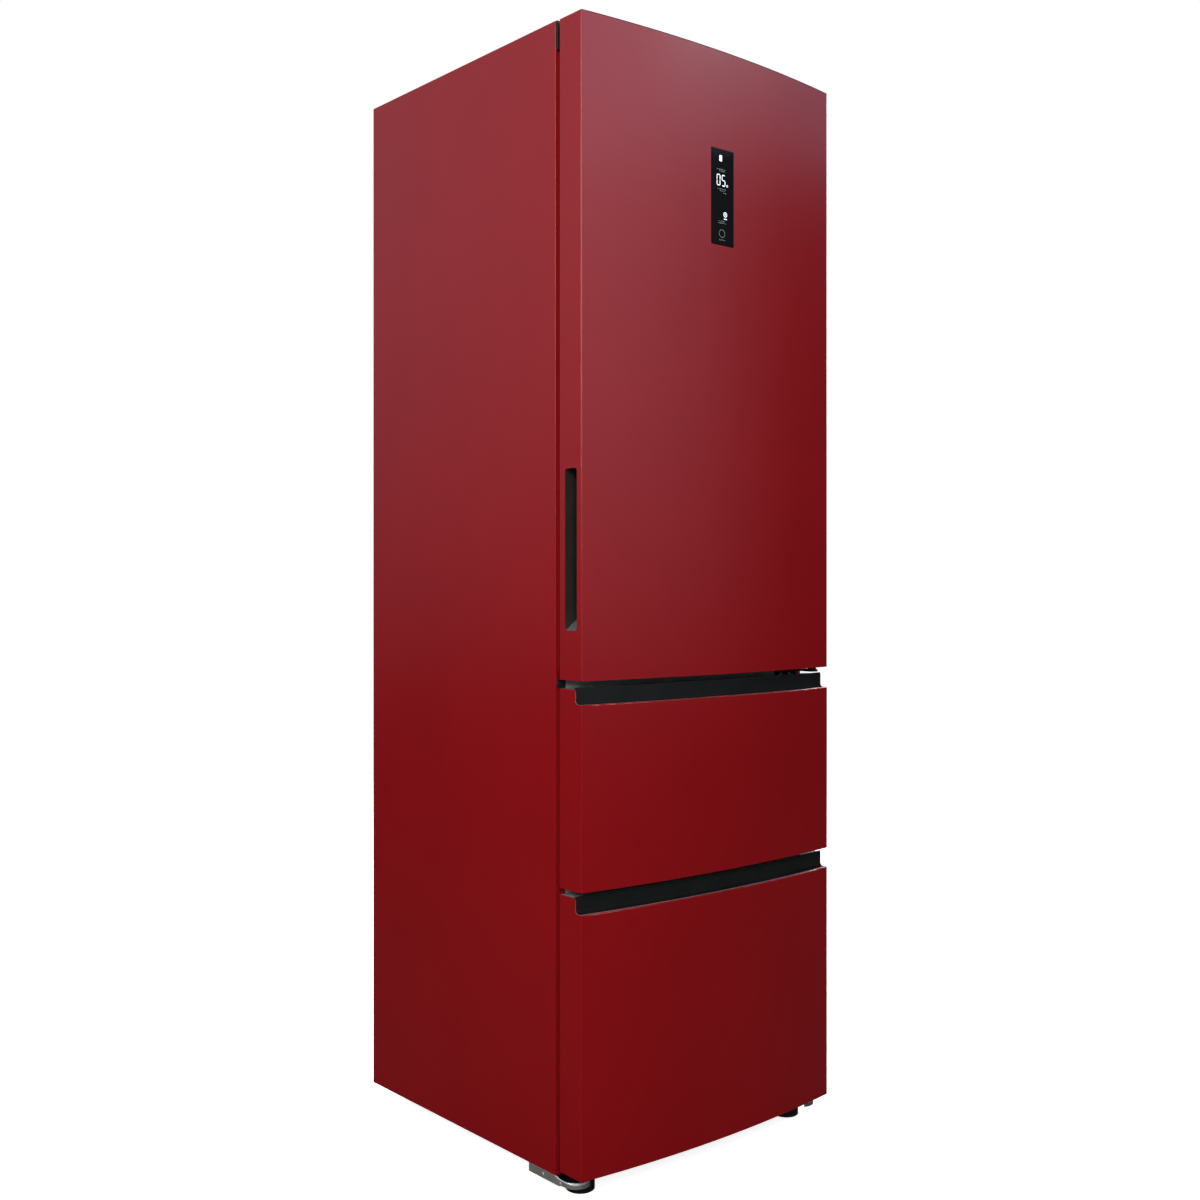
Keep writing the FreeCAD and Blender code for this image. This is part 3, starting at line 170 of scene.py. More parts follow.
# Plate over the spare hinge holes: its run from the side, its height, its thickness and its plug's place
blank_run = (1.5 * mm, 20 * mm)
blank_tall = 15 * mm
blank_thick = 2.5 * mm
blank_plug = 4.5 * mm

# Tubs: walls, rims and flutes, what the drawers' tubs hang by, the crisper's pull and the door's trays
tub_wall = 2.5 * mm
tub_rim = 9 * mm
rim_round = 0.8 * mm
tub_recess = 1.6 * mm
tub_foot = 4 * mm
flute_depth = 1.2 * mm
flute_steps = 8
least_corner = 0.5 * mm
hang_strip = 8 * mm
strip_lap = 5 * mm
strip_short = 20 * mm
strip_thick = 4 * mm
pull_reach = 14 * mm
pull_inset = 30 * mm
pull_thick = 6 * mm
pull_lap = 4 * mm
tray_tall = 70 * mm
tray_count = 3

# Lamp: its corners, how far its lens curves in, and the prisms across the middle of its face, which is where
# points lie this near to its lowest level
lamp_steps = 240
lamp_corner = 8 * mm
lamp_bulge = 6 * mm
face_play = 0.01 * mm
prism_pitch = 6 * mm
prism_depth = 0.8 * mm
prism_half_field = 20 * mm

# Screws from the hinge's corner and from the cover's edges, and the back's plugs with their turned outline
hinge_tab = 4 * mm
hinge_screws = ((12 * mm, 6 * mm), (36 * mm, 6 * mm), (24 * mm, 22 * mm))
cover_screws = (-268 * mm, -90 * mm, 90 * mm, 268 * mm)
cover_screw_inset = 9 * mm
plug_aside = 190 * mm
plug_levels = (420 * mm, 950 * mm, 1600 * mm)
plug_radii = np.array([3, 8, 9.5, 10.5, 13.5, 14.5, 15]) * mm
plug_heights = np.array([0.35, 0.35, 0.45, 0.7, 0.75, 0.65, 0.35]) * mm

# Studio: the floor's half width, its lift towards white and its share of that in reflections, the even light
# on the object, and the walls in reflections: the direction of each, how near to it the wall begins and is
# fully lit, and its strength
floor_half = 12.0
floor_steps = 9
floor_lift = 0.84
floor_mirrored = 0.01
fill_level = 0.24
room_dark = 0.03
room_rise = (-0.25, 0.33)
room_walls = (
    ((0, -1, 0), 0.5, 0.95, 1.05),
    ((-1, 0, 0), -0.2, 0.6, 0.43),
    ((0.7, 0.7, 0), 0.4, 0.75, 0.8),
    ((0, 0, 1), 0.5, 0.85, 0.6),
)

# Camera, fitted to the corners in the photograph
camera_place = (-1.7198, -2.0104, 0.9953)
camera_yaw = 40.573
camera_lens = 42.035
camera_rise = -0.01528
camera_aside = -0.00058
camera_sensor = 36


def linear(code):
    """An sRGB hex colour as linear red, green, blue and alpha."""
    channels = []
    for start in (0, 2, 4):
        value = int(code[start:start + 2], 16) / 255
        channels.append(value / 12.92 if value <= 0.04045 else ((value + 0.055) / 1.055) ** 2.4)
    return (*channels, 1.0)


def add(tree, kind, sockets=None, **settings):
    """Add a shader node: settings are its properties, sockets its inputs' values or the outputs linked."""
    node = tree.nodes.new("ShaderNode" + kind)
    for name, value in settings.items():
        setattr(node, name, value)
    for name, value in (sockets or {}).items():
        if isinstance(value, bpy.types.NodeSocket):
            tree.links.new(value, node.inputs[name])
        else:
            node.inputs[name].default_value = value
    return node


def blank(name):
    """A new material and its node tree, which is emptied."""
    material = bpy.data.materials.new(name)
    material.use_nodes = True
    material.node_tree.nodes.clear()
    return material, material.node_tree


def two_tones(tree, share, dark, light, start=0.0, end=1.0):
    """A colour that goes from one tone to another while a share rises from its start to its end."""
    tone = add(tree, "ValToRGB", {"Fac": share})
    for stop, position, code in zip(tone.color_ramp.elements, (start, end), (dark, light)):
        stop.position = position
        stop.color = linear(code)
    return tone.outputs["Color"]


def coated(material, sockets):
    """The material with one principled surface, whose sockets are given."""
    surface = add(material.node_tree, "BsdfPrincipled", sockets)
    add(material.node_tree, "OutputMaterial", {"Surface": surface.outputs["BSDF"]})
    return material


def per(size):
    """The scale of a pattern whose features are this far apart, in millimetres."""
    return 1 / (size * mm)


def finish(
    name, dark, light, cloud, grain, rough, bump, stretch=(1, 1, 1), top=None, specular=0.5, **shader
):
    """A surface whose colour drifts between two tones over a cloud size, whose gloss drifts with its grain
    between two roughnesses, and whose fine grain is a bump of some strength; sizes are in millimetres. The
    grain can be stretched along an axis, and faces that look up can have a tone of their own, which is
    painted light on their tops."""
    material, tree = blank(name)
    place = add(tree, "TexCoord").outputs["Object"]
    drift = add(tree, "TexNoise", {"Vector": place, "Scale": per(cloud), "Detail": 2.0})
    colour = two_tones(tree, drift.outputs["Fac"], dark, light, start=0.3, end=0.7)
    # Faces that look up blend into the top tone: painted light standing in for the light on their tops.
    if top:
        facing = add(tree, "SeparateXYZ", {"Vector": add(tree, "NewGeometry").outputs["True Normal"]})
        top_light_share = add(tree, "MapRange", {
            "Value": facing.outputs["Z"], "From Min": painted_top_light_range[0], "From Max": painted_top_light_range[1]
        }, interpolation_type="SMOOTHSTEP")
        painted_top_light = add(tree, "Mix", {0: top_light_share.outputs["Result"], 6: colour, 7: linear(top)}, data_type="RGBA")
        colour = painted_top_light.outputs[2]
    along = add(tree, "Mapping", {"Vector": place, "Scale": stretch})
    fine = add(tree, "TexNoise", {"Vector": along.outputs["Vector"], "Scale": per(grain), "Detail": 3.0})
    gloss = add(tree, "MapRange", {"Value": fine.outputs["Fac"], "To Min": rough[0], "To Max": rough[1]})
    relief = add(tree, "Bump", {"Height": fine.outputs["Fac"], "Strength": bump, "Distance": bump_height})
    sockets = {
        "Base Color": colour, "Roughness": gloss.outputs["Result"], "Normal": relief.outputs["Normal"],
        "Specular IOR Level": specular, **shader,
    }
    return coated(material, sockets)


def satin_red_enamel():
    """Stove enamel over sheet steel: one even deep red with a soft sheen and a faint orange peel.
    The peel is drawn at 3 mm, coarser than the real 1 mm, so that it shows."""
    return finish("satin_red_enamel", "87070E", "8B080F", 180, 3.0, (0.22, 0.28), 0.05, specular=0.7)


def grey_primer():
    """Powder primer on a steel rail: light grey, half matt and slightly rough."""
    return finish("grey_primer", "A9AFAB", "B6BBB7", 60, 1.2, (0.42, 0.52), 0.1, specular=0.2)


def galvanised_steel():
    """Hot-dip galvanised sheet: grey zinc crystals about 9 mm wide, each with its own shade and gloss."""
    material, tree = blank("galvanised_steel")
    place = add(tree, "TexCoord").outputs["Object"]
    bend = add(tree, "TexNoise", {"Vector": place, "Scale": per(14), "Detail": 3.0})
    drift = add(tree, "VectorMath", {
        0: bend.outputs["Color"], 1: (4 * mm, 4 * mm, 4 * mm), 2: place
    }, operation="MULTIPLY_ADD")
    crystals = add(tree, "TexVoronoi", {"Vector": drift.outputs["Vector"], "Scale": per(9)})
    shade = add(tree, "SeparateColor", {"Color": crystals.outputs["Color"]})
    tone = two_tones(tree, shade.outputs["Red"], "A9ADAF", "BCC0C2")
    gloss = add(tree, "MapRange", {"Value": shade.outputs["Green"], "To Min": 0.38, "To Max": 0.48})
    return coated(material, {
        "Base Color": tone, "Roughness": gloss.outputs["Result"], "Metallic": 0.5,
    })


def zinc_plate():
    """Bright zinc plating on pressed steel: silver with fine drawing lines along the depth."""
    return finish(
        "zinc_plate", "A9AEB2", "C6CACC", 40, 0.8, (0.22, 0.36), 0.1, stretch=(1, 0.04, 1), Metallic=0.7,
    )


def dull_zinc():
    """Zinc sheet gone dull: grey with only a weak sheen."""
    return finish(
        "dull_zinc", "7E7E7A", "8B8B88", 40, 0.9, (0.35, 0.45), 0.1, stretch=(1, 0.04, 1), Metallic=0.35,
    )


def pale_highlight_zinc():
    """Pale zinc for bent edges and rivets: a painted highlight, so that they stand out from the dull sheet.
    """
    return finish("pale_highlight_zinc", "C4C6CC", "DCDEE2", 20, 0.8, (0.2, 0.3), 0.05, Metallic=0.3)


def bare_edge_highlight():
    """The cut edge of the painted sheet, pale pink: partly bare steel under a trace of paint, partly a
    painted highlight along the edge.
    """
    return finish("bare_edge_highlight", "7E4644", "99625F", 9, 0.8, (0.3, 0.45), 0.1, specular=0.4)


def black_steel_coat():
    """Electrocoated steel: near black, half matt, with a slight grit."""
    return finish("black_steel_coat", "141516", "1C1D1E", 60, 0.9, (0.42, 0.55), 0.15, specular=0.25)


def black_abs():
    """Moulded ABS with a fine spark texture: near black with a soft shine."""
    return finish("black_abs", "161716", "1D1E1D", 50, 0.7, (0.34, 0.46), 0.12, specular=0.25)


def gloss_black_abs():
    """Polished ABS: black, with a clearer reflection that a slight waviness breaks up, and lighter where it
    faces up, as painted light."""
    return finish(
        "gloss_black_abs", "161717", "1C1D1D", 60, 9.0, (0.2, 0.28), 0.04, top="7C8284",
        specular=0.4,
    )


def satin_black_abs():
    """ABS from a fine-blasted mould: black, with a soft reflection where it turns to the light, and lighter
    where it faces up, as painted light."""
    return finish(
        "satin_black_abs", "242523", "2C2D2B", 50, 0.8, (0.24, 0.32), 0.08, top="575C5E",
        specular=0.8,
    )


def black_glass():
    """Printed float glass: deep black under a mirror-smooth face."""
    return finish("black_glass", "060708", "090A0B", 40, 20.0, (0.04, 0.07), 0.01, specular=0.14)


def white_hips():
    """Vacuum-formed polystyrene: clean white with a soft gloss and a slight unevenness from forming."""
    return finish("white_hips", "E3E5E3", "EBECEA", 120, 14.0, (0.26, 0.36), 0.04, specular=0.35)


def white_hips_dark_edge():
    """The drawer's inner panel: white where it faces the freezer, with a charcoal edge inside the sheet."""
    material, tree = blank("white_hips_dark_edge")
    place = add(tree, "TexCoord").outputs["Object"]
    depth = add(tree, "SeparateXYZ", {"Vector": place})
    inner = add(tree, "Math", {0: depth.outputs["Y"], 1: door_back - white_reach}, operation="GREATER_THAN")
    tone = two_tones(tree, inner.outputs["Value"], "1C1D1C", "E7E9E7")
    form = add(tree, "TexNoise", {"Vector": place, "Scale": per(14), "Detail": 2.0})
    gloss = add(tree, "MapRange", {"Value": form.outputs["Fac"], "To Min": 0.28, "To Max": 0.38})
    relief = add(tree, "Bump", {"Height": form.outputs["Fac"], "Strength": 0.04, "Distance": bump_height})
    return coated(material, {
        "Base Color": tone, "Roughness": gloss.outputs["Result"],
        "Normal": relief.outputs["Normal"], "Specular IOR Level": 0.3,
    })


def opal_polycarbonate():
    """Opal polycarbonate: milky white that lets light through."""
    return finish(
        "opal_polycarbonate", "EFEFE9", "F7F6F0", 30, 1.2, (0.3, 0.4), 0.06, **{"Subsurface Weight": 0.3},
    )


def clear_polystyrene():
    """Injection-moulded polystyrene: water clear with a cool tint and a faint flow pattern."""
    return finish(
        "clear_polystyrene", "E6F0F4", "F4F9FB", 60, 12.0, (0.04, 0.1), 0.05, IOR=1.59,
        **{"Transmission Weight": 0.92},
    )


def toughened_glass():
    """Toughened float glass: clear through its faces, sea green along its cut edges."""
    material, tree = blank("toughened_glass")
    place = add(tree, "TexCoord").outputs["Object"]
    upright = add(tree, "SeparateXYZ", {"Vector": add(tree, "NewGeometry").outputs["True Normal"]})
    flat = add(tree, "Math", {0: upright.outputs["Z"]}, operation="ABSOLUTE")
    tone = two_tones(tree, flat.outputs["Value"], "5FA58C", "EAF5F1")
    ripple = add(tree, "TexNoise", {"Vector": place, "Scale": per(60)})
    gloss = add(tree, "MapRange", {"Value": ripple.outputs["Fac"], "To Min": 0.01, "To Max": 0.04})
    return coated(material, {
        "Base Color": tone, "Roughness": gloss.outputs["Result"], "IOR": 1.52,
        "Transmission Weight": 0.95,
    })


def grey_pvc():
    """Extruded soft PVC: mid grey, matt, with a slight bloom."""
    return finish("grey_pvc", "5D5F60", "6A6C6D", 30, 1.5, (0.55, 0.7), 0.1, specular=0.2)


def black_rubber():
    """Moulded rubber: black with a dusty bloom."""
    return finish("black_rubber", "121212", "1E1E1D", 12, 1.0, (0.6, 0.8), 0.2, specular=0.2)


def polyurethane_foam():
    """Blown polyurethane: straw yellow with open cells about 1.5 mm wide."""
    return finish("polyurethane_foam", "C9B26E", "E0CC8E", 20, 1.5, (0.8, 0.95), 0.6)


def grey_nylon():
    """Nylon filled with glass: mid grey and half matt."""
    return finish("grey_nylon", "8E9091", "9FA1A2", 20, 1.0, (0.4, 0.55), 0.12)


def mill_aluminium():
    """Rolled aluminium: bright, with rolling lines along the height."""
    return finish(
        "mill_aluminium", "BFC3C5", "D3D6D7", 30, 0.7, (0.25, 0.4), 0.1, stretch=(1, 1, 0.05), Metallic=1.0,
    )


def lit_segment():
    """Diffused white light behind a mask: even, a little cool, softer where the mask is thick."""
    material, tree = blank("lit_segment")
    place = add(tree, "TexCoord").outputs["Object"]
    drift = add(tree, "TexNoise", {"Vector": place, "Scale": per(4)})
    glow = add(tree, "MapRange", {"Value": drift.outputs["Fac"], "To Min": 0.8, "To Max": 1.0})
    return coated(material, {
        "Base Color": linear("D5DCE2"), "Roughness": 0.4, "Emission Color": linear("EEF4FF"),
        "Emission Strength": glow.outputs["Result"],
    })


def printed_grey():
    """Screen print on the back of the glass: pale grey, in strokes thin enough to look dim."""
    return finish("printed_grey", "A6ACAF", "BAC0C3", 6, 0.8, (0.4, 0.5), 0.02)


zinc = zinc_plate()
sheet_zinc = dull_zinc()
highlight_edge_zinc = pale_highlight_zinc()
edge_highlight_steel = bare_edge_highlight()
coat_black = black_steel_coat()
abs_black = black_abs()
gloss_black = gloss_black_abs()
glass_black = black_glass()
panel_white = white_hips_dark_edge()
opal = opal_polycarbonate()
clear = clear_polystyrene()
pvc = grey_pvc()
nylon = grey_nylon()
segment = lit_segment()
print_grey = printed_grey()

slot_finish = {
    "red_paint": satin_red_enamel(),
    "light_grey_paint": grey_primer(),
    "galvanised_sheet": galvanised_steel(),
    "zinc_plated_steel": zinc,
    "black_coated_steel": coat_black,
    "black_moulding": abs_black,
    "display_glass": glass_black,
    "white_plastic": white_hips(),
    "lamp_lens": opal,
    "clear_plastic": clear,
    "shelf_glass": toughened_glass(),
    "grey_seal": pvc,
    "black_rubber": black_rubber(),
    "insulating_foam": polyurethane_foam(),
    "grey_nylon": nylon,
    "aluminium_fins": mill_aluminium(),
}
node_finish = {
    "door_side_grip": satin_black_abs(),
    "upper_drawer_grip": gloss_black,
    "lower_drawer_grip": gloss_black,
    "upper_drawer_panel": panel_white,
    "lower_drawer_panel": panel_white,
}


def dress_nodes():
    """Give every carried-over piece the finish of its slot, or its own where one is named."""
    for part in frame["record"]["subparts"]:
        mesh = frame["nodes"][part["node"]].data
        mesh.materials.clear()
        mesh.materials.append(node_finish.get(part["node"], slot_finish[part["material_slot"]]))


def grid_faces(rows, columns, close_rows=False, close_columns=False):
    """The four-sided faces of a grid of points stored row by row; a closed direction joins its two ends."""
    row = np.arange(rows if close_rows else rows - 1)[:, None]
    column = np.arange(columns if close_columns else columns - 1)[None, :]
    next_row = (row + 1) % rows
    next_column = (column + 1) % columns
    corners = (
        row * columns + column, row * columns + next_column,
        next_row * columns + next_column, next_row * columns + column,
    )
    return np.stack(np.broadcast_arrays(*corners), axis=-1).reshape(-1, 4)


def piece(name, parts, material, body):
    """One object from several (points, faces) pairs: doubles are merged, faces turned outwards, and edges
    with a large turn left sharp."""
    points = np.concatenate([part[0] for part in parts])
    starts = np.cumsum([0] + [len(part[0]) for part in parts[:-1]])
    faces = []
    for start, part in zip(starts, parts):
        faces += [[int(corner + start) for corner in face] for face in part[1]]
    mesh = bpy.data.meshes.new(name)
    mesh.from_pydata(points.tolist(), [], faces)
    shell = bmesh.new()
    shell.from_mesh(mesh)
    bmesh.ops.remove_doubles(shell, verts=shell.verts, dist=weld)
    bmesh.ops.recalc_face_normals(shell, faces=shell.faces)
    shell.to_mesh(mesh)
    shell.free()
    mesh.materials.append(material)
    mesh.polygons.foreach_set("use_smooth", np.ones(len(mesh.polygons), dtype=bool))
    mesh.set_sharp_from_angle(angle=sharp_turn)
    made = bpy.data.objects.new(name, mesh)
    bpy.context.scene.collection.objects.link(made)
    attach(made, body)
    return made


def eased(value):
    """A step from 0 to 1 that is level at both ends: three squares less two cubes."""
    share = np.clip(value, 0, 1)
    return share ** 2 * (3 - 2 * share)


def front_at(x):
    """The depth of the bowed front across the width: a circle of the bow's radius about its far middle."""
    return front + bow_radius - np.sqrt(bow_radius ** 2 - x ** 2)


def rounded_rectangle(half_x, half_z, radius, steps=6):
    """Points round a rectangle with quarter-circle corners, anticlockwise seen with z up and x right."""
    turn = np.linspace(0, math.pi / 2, steps)
    angles = np.concatenate([turn + quarter * math.pi / 2 for quarter in range(4)])
    side_x = np.repeat([1, -1, -1, 1], steps) * (half_x - radius)
    side_z = np.repeat([1, 1, -1, -1], steps) * (half_z - radius)
    return np.stack([side_x + radius * np.cos(angles), side_z + radius * np.sin(angles)], axis=-1)


def glass_face(x):
    """The depth of the display's glass: the bowed front, brought forward by the stand, less the inset."""
    return front_at(x) - display_stand + glass_depth


def display_glass():
    """A plate that follows the bow: rings of a rounded rectangle that grow from its middle line, lie on the
    bowed face, fall over a bevel at the rim, run straight back and close on the middle line again."""
    low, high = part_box("display_panel")
    half_x, half_z = (high.x - low.x) / 2, (high.z - low.z) / 2
    middle = (high.z + low.z) / 2
    rows = [(inset, 0) for inset in np.linspace(half_x, glass_bevel * 1.4, 8)]
    rows += [(glass_bevel, 0), (glass_bevel * 0.3, glass_bevel * 0.3), (0, glass_bevel)]
    rings = []
    for inset, fall in rows:
        outline = rounded_rectangle(half_x - inset, half_z - inset, max(glass_corner - inset, 0))
        rings.append(np.column_stack([
            outline[:, 0], glass_face(outline[:, 0]) + fall, middle + outline[:, 1]
        ]))
    rear = rings[-1].copy()
    rear[:, 1] = high.y
    spine = rear.copy()
    spine[:, 0] = 0
    spine[:, 2] = np.clip(spine[:, 2], low.z + half_x, high.z - half_x)
    rings += [rear, spine]
    faces = grid_faces(len(rings), len(rear), close_columns=True)
    plate = (np.concatenate(rings), faces)
    made = piece("display_glass", [plate], glass_black, "fridge_door")
    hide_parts("display_panel")


def raised(outline, drop):
    """A flat mark on the display: an outline in x and z, lifted off the glass, with walls down to it."""
    x = outline[:, 0]
    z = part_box("display_panel")[1].z - drop + outline[:, 1]
    count = len(outline)
    rings = [np.column_stack([x, glass_face(x) - rise, z]) for rise in (mark_rise, -mark_rise)]
    top, foot = list(range(count)), list(range(2 * count - 1, count - 1, -1))
    return np.concatenate(rings), [top, foot] + grid_faces(2, count, close_columns=True).tolist()


def pointed_bar(x, z, long, thick, upright=False):
    """A pointed bar of a digit: a hexagon round a middle point."""
    tip = thick / 2
    run = np.array([
        [-long / 2, 0], [tip - long / 2, -tip], [long / 2 - tip, -tip],
        [long / 2, 0], [long / 2 - tip, tip], [tip - long / 2, tip],
    ])
    if upright:
        run = np.column_stack([-run[:, 1], run[:, 0]])
    return run + np.array([x, z])


def digit(bars, x):
    """One seven-bar digit: the bars that are lit, by their letters."""
    wide, tall = digit_wide, digit_tall
    places = {
        "a": (0, tall / 2, wide, False), "g": (0, 0, wide, False), "d": (0, -tall / 2, wide, False),
        "f": (-wide / 2, tall / 4, tall / 2, True), "b": (wide / 2, tall / 4, tall / 2, True),
        "e": (-wide / 2, -tall / 4, tall / 2, True), "c": (wide / 2, -tall / 4, tall / 2, True),
    }
    marks = []
    for letter in bars:
        along, rise, long, upright = places[letter]
        bar = pointed_bar(x + along, rise, long - digit_gap, digit_thick, upright)
        marks.append(raised(bar, digit_drop))
    return marks


def ring_mark(x, drop, radius, thick, steps=28):
    """A flat ring on the display: two circles at the top and two at its foot, joined in a closed band."""
    turn = np.linspace(0, 2 * math.pi, steps, endpoint=False)
    size = np.array([radius - thick, radius - thick, radius, radius])[:, None]
    rise = np.array([mark_rise, -mark_rise, -mark_rise, mark_rise])[:, None]
    across = x + size * np.cos(turn)
    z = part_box("display_panel")[1].z - drop + size * np.sin(turn)
    points = np.stack([across, glass_face(across) - rise, z], axis=-1).reshape(-1, 3)
    return points, grid_faces(4, steps, close_rows=True, close_columns=True)


def print_row(x, drop, long):
    """A row of small printed strokes, of five lengths in turn, centred on a place."""
    strokes = np.resize(stroke_sizes, int(long / stroke_pitch))
    starts = np.cumsum(np.concatenate([[0], strokes[:-1] + stroke_gap]))
    middles = starts + strokes / 2 - (starts[-1] + strokes[-1]) / 2
    bars = [pointed_bar(x + place, 0, size, stroke_thick) for place, size in zip(middles, strokes)]
    return [raised(bar, drop) for bar in bars]


def display_marks():
    """What the display shows: a lit key, two digits with a degree ring, and a symbol of two rings and a bar;
    then, printed in grey, a ring key and rows of print."""
    key = rounded_rectangle(*key_half, key_corner) + np.array([key_x, 0])
    lit = [raised(key, key_drop)]
    for bars, x in zip(digit_bars, digit_places):
        lit += digit(bars, x)
    lit += [ring_mark(*ring) for ring in lit_rings]
    lit.append(raised(pointed_bar(bar_x, 0, bar_long, bar_thick), bar_drop))
    piece("display_lit_marks", lit, segment, "fridge_door")
    dim = [ring_mark(*ring_key)]
    for row in print_rows:
        dim += print_row(*row)
    piece("display_printed_marks", dim, print_grey, "fridge_door")


def door_seal(node, body):
    """A bellows seal: its half width over the depth is a neck that swells into a bulb, with folds in it,
    and the closed section runs round a rectangle with mitred corners."""
    low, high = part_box(node)
    share = np.linspace(0, 1, seal_steps)
    half_band = seal_neck + seal_swell * eased((share - swell_start) / swell_run)
    half_band = half_band + seal_fold * np.cos(share * seal_folds * 2 * math.pi) * (1 - share)
    half_band = np.minimum(half_band * np.sqrt(1 - np.abs(2 * share - 1) ** seal_blunt), seal_band / 2)
    inset = np.concatenate([seal_band / 2 - half_band, (seal_band / 2 + half_band)[::-1]])[:, None]
    depth = low.y + (high.y - low.y) * np.concatenate([share, share[::-1]])[:, None]
    side_x = np.repeat([1, -1, -1, 1], 3)
    side_z = np.repeat([1, 1, -1, -1], 3)
    off_x = seal_mitre * np.array([0, 0, 1, 1, 0, 0, 0, 0, 1, 1, 0, 0])
    off_z = seal_mitre * np.array([1, 0, 0, 0, 0, 1, 1, 0, 0, 0, 0, 1])
    x = (high.x + low.x) / 2 + side_x * ((high.x - low.x) / 2 - inset - off_x)
    z = (high.z + low.z) / 2 + side_z * ((high.z - low.z) / 2 - inset - off_z)
    points = np.stack([x, depth + 0 * x, z], axis=-1).reshape(-1, 3)
    faces = grid_faces(len(inset), 12, close_rows=True, close_columns=True)
    made = piece(node + "_bellows", [(points, faces)], pvc, body)
    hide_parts(node)


def bead(path, radius, steps=8):
    """A round bead along a path: circles square to the path's direction, closed to a point at both ends."""
    along = np.gradient(path, axis=0)
    along /= np.linalg.norm(along, axis=1, keepdims=True)
    no_path_goes = np.array([0.31, 0.52, 0.79])
    aside = np.cross(along, no_path_goes)
    aside /= np.linalg.norm(aside, axis=1, keepdims=True)
    above = np.cross(along, aside)
    turn = np.linspace(0, 2 * math.pi, steps, endpoint=False)[None, :, None]
    size = np.full(len(path), radius)
    size[[0, -1]] = 0
    ring = np.cos(turn) * aside[:, None] + np.sin(turn) * above[:, None]
    points = path[:, None] + size[:, None, None] * ring
    return points.reshape(-1, 3), grid_faces(len(path), steps, close_columns=True)


def sheet_edge(drawer):
    """The bare edge of a drawer's sheet, pale as partly a painted highlight: down the rear of the left
    notch, round its corner, forward along the side, across the bowed lip, and back up the right notch in the
    same way."""
    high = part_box(drawer + "_skin")[1].z
    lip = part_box(drawer + "_grip")[0].z + groove_depth
    side = half_width - edge_inset
    corner = front_at(half_width)
    turn = np.linspace(0, math.pi / 2, arc_steps)
    arc_y = corner + notch_depth - notch_radius * (1 - np.cos(turn))
    arc_z = lip + notch_radius * (1 - np.sin(turn))
    rear_z = np.linspace(high - edge_step, arc_z[0] + edge_step, rear_steps)
    rear_y = np.full_like(rear_z, corner + notch_depth)
    run_y = np.linspace(arc_y[-1] - edge_step, corner + side_end, side_steps)
    left_y = np.concatenate([rear_y, arc_y, run_y])
    left_z = np.concatenate([rear_z, arc_z, np.full_like(run_y, lip)])
    left = np.column_stack([np.full_like(left_y, -side), left_y, left_z])
    x = np.linspace(-side + lip_start, side - lip_start, width_steps)
    middle = np.column_stack([x, front_at(x) + edge_behind, np.full_like(x, lip)])
    right = left[::-1] * np.array([-1, 1, 1])
    path = np.concatenate([left, middle, right])
    name = drawer.replace("drawer", "lip_highlight_edge")
    piece(name, [bead(path, edge_radius)], edge_highlight_steel, drawer)


def cap_edge():
    """The thin rim of the door's top cap, along the top of the bowed front."""
    x = np.linspace(-half_width + cap_inset, half_width - cap_inset, width_steps)
    path = np.column_stack([x, front_at(x) + cap_rim - cap_proud, np.full_like(x, door_high.z - cap_rim)])
    piece("door_cap_edge", [bead(path, cap_rim)], abs_black, "fridge_door")


def bracket_plan():
    """The plan of the left bracket's strip, straight along the side and then a circle's arc round the nose,
    and the outward direction at each of its points."""
    low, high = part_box("foot_brackets")
    nose = np.array([low.x + nose_radius, cabinet_front - nose_forward])
    turn = np.linspace(math.pi, math.pi + nose_turn, nose_steps)
    round_nose = np.column_stack([np.cos(turn), np.sin(turn)])
    run_y = np.linspace(high.y, nose[1], run_steps, endpoint=False)
    run = np.column_stack([np.full(run_steps, low.x), run_y])
    run_outward = np.tile([-1.0, 0.0], (run_steps, 1))
    return np.concatenate([run, nose + nose_radius * round_nose]), np.concatenate([run_outward, round_nose])


def holed_plate(middle, reach, hole, low, high):
    """A flat plate round a hole: at even turns about its middle, points at the outline's reach and at the
    hole's radius, on both levels, closed into a ring."""
    turn = np.linspace(0, 2 * math.pi, len(reach), endpoint=False)
    ways = np.column_stack([np.cos(turn), np.sin(turn)])
    outer = np.array(middle) + reach[:, None] * ways
    inner = np.array(middle) + hole * ways
    levels = ((outer, low), (outer, high), (inner, high), (inner, low))
    points = [np.column_stack([ring, np.full(len(reach), level)]) for ring, level in levels]
    return np.concatenate(points), grid_faces(4, len(reach), close_rows=True, close_columns=True)


def both_sides(parts):
    """The parts of the left side, and their mirror images on the right."""
    return parts + [(points * np.array([-1, 1, 1]), faces) for points, faces in parts]


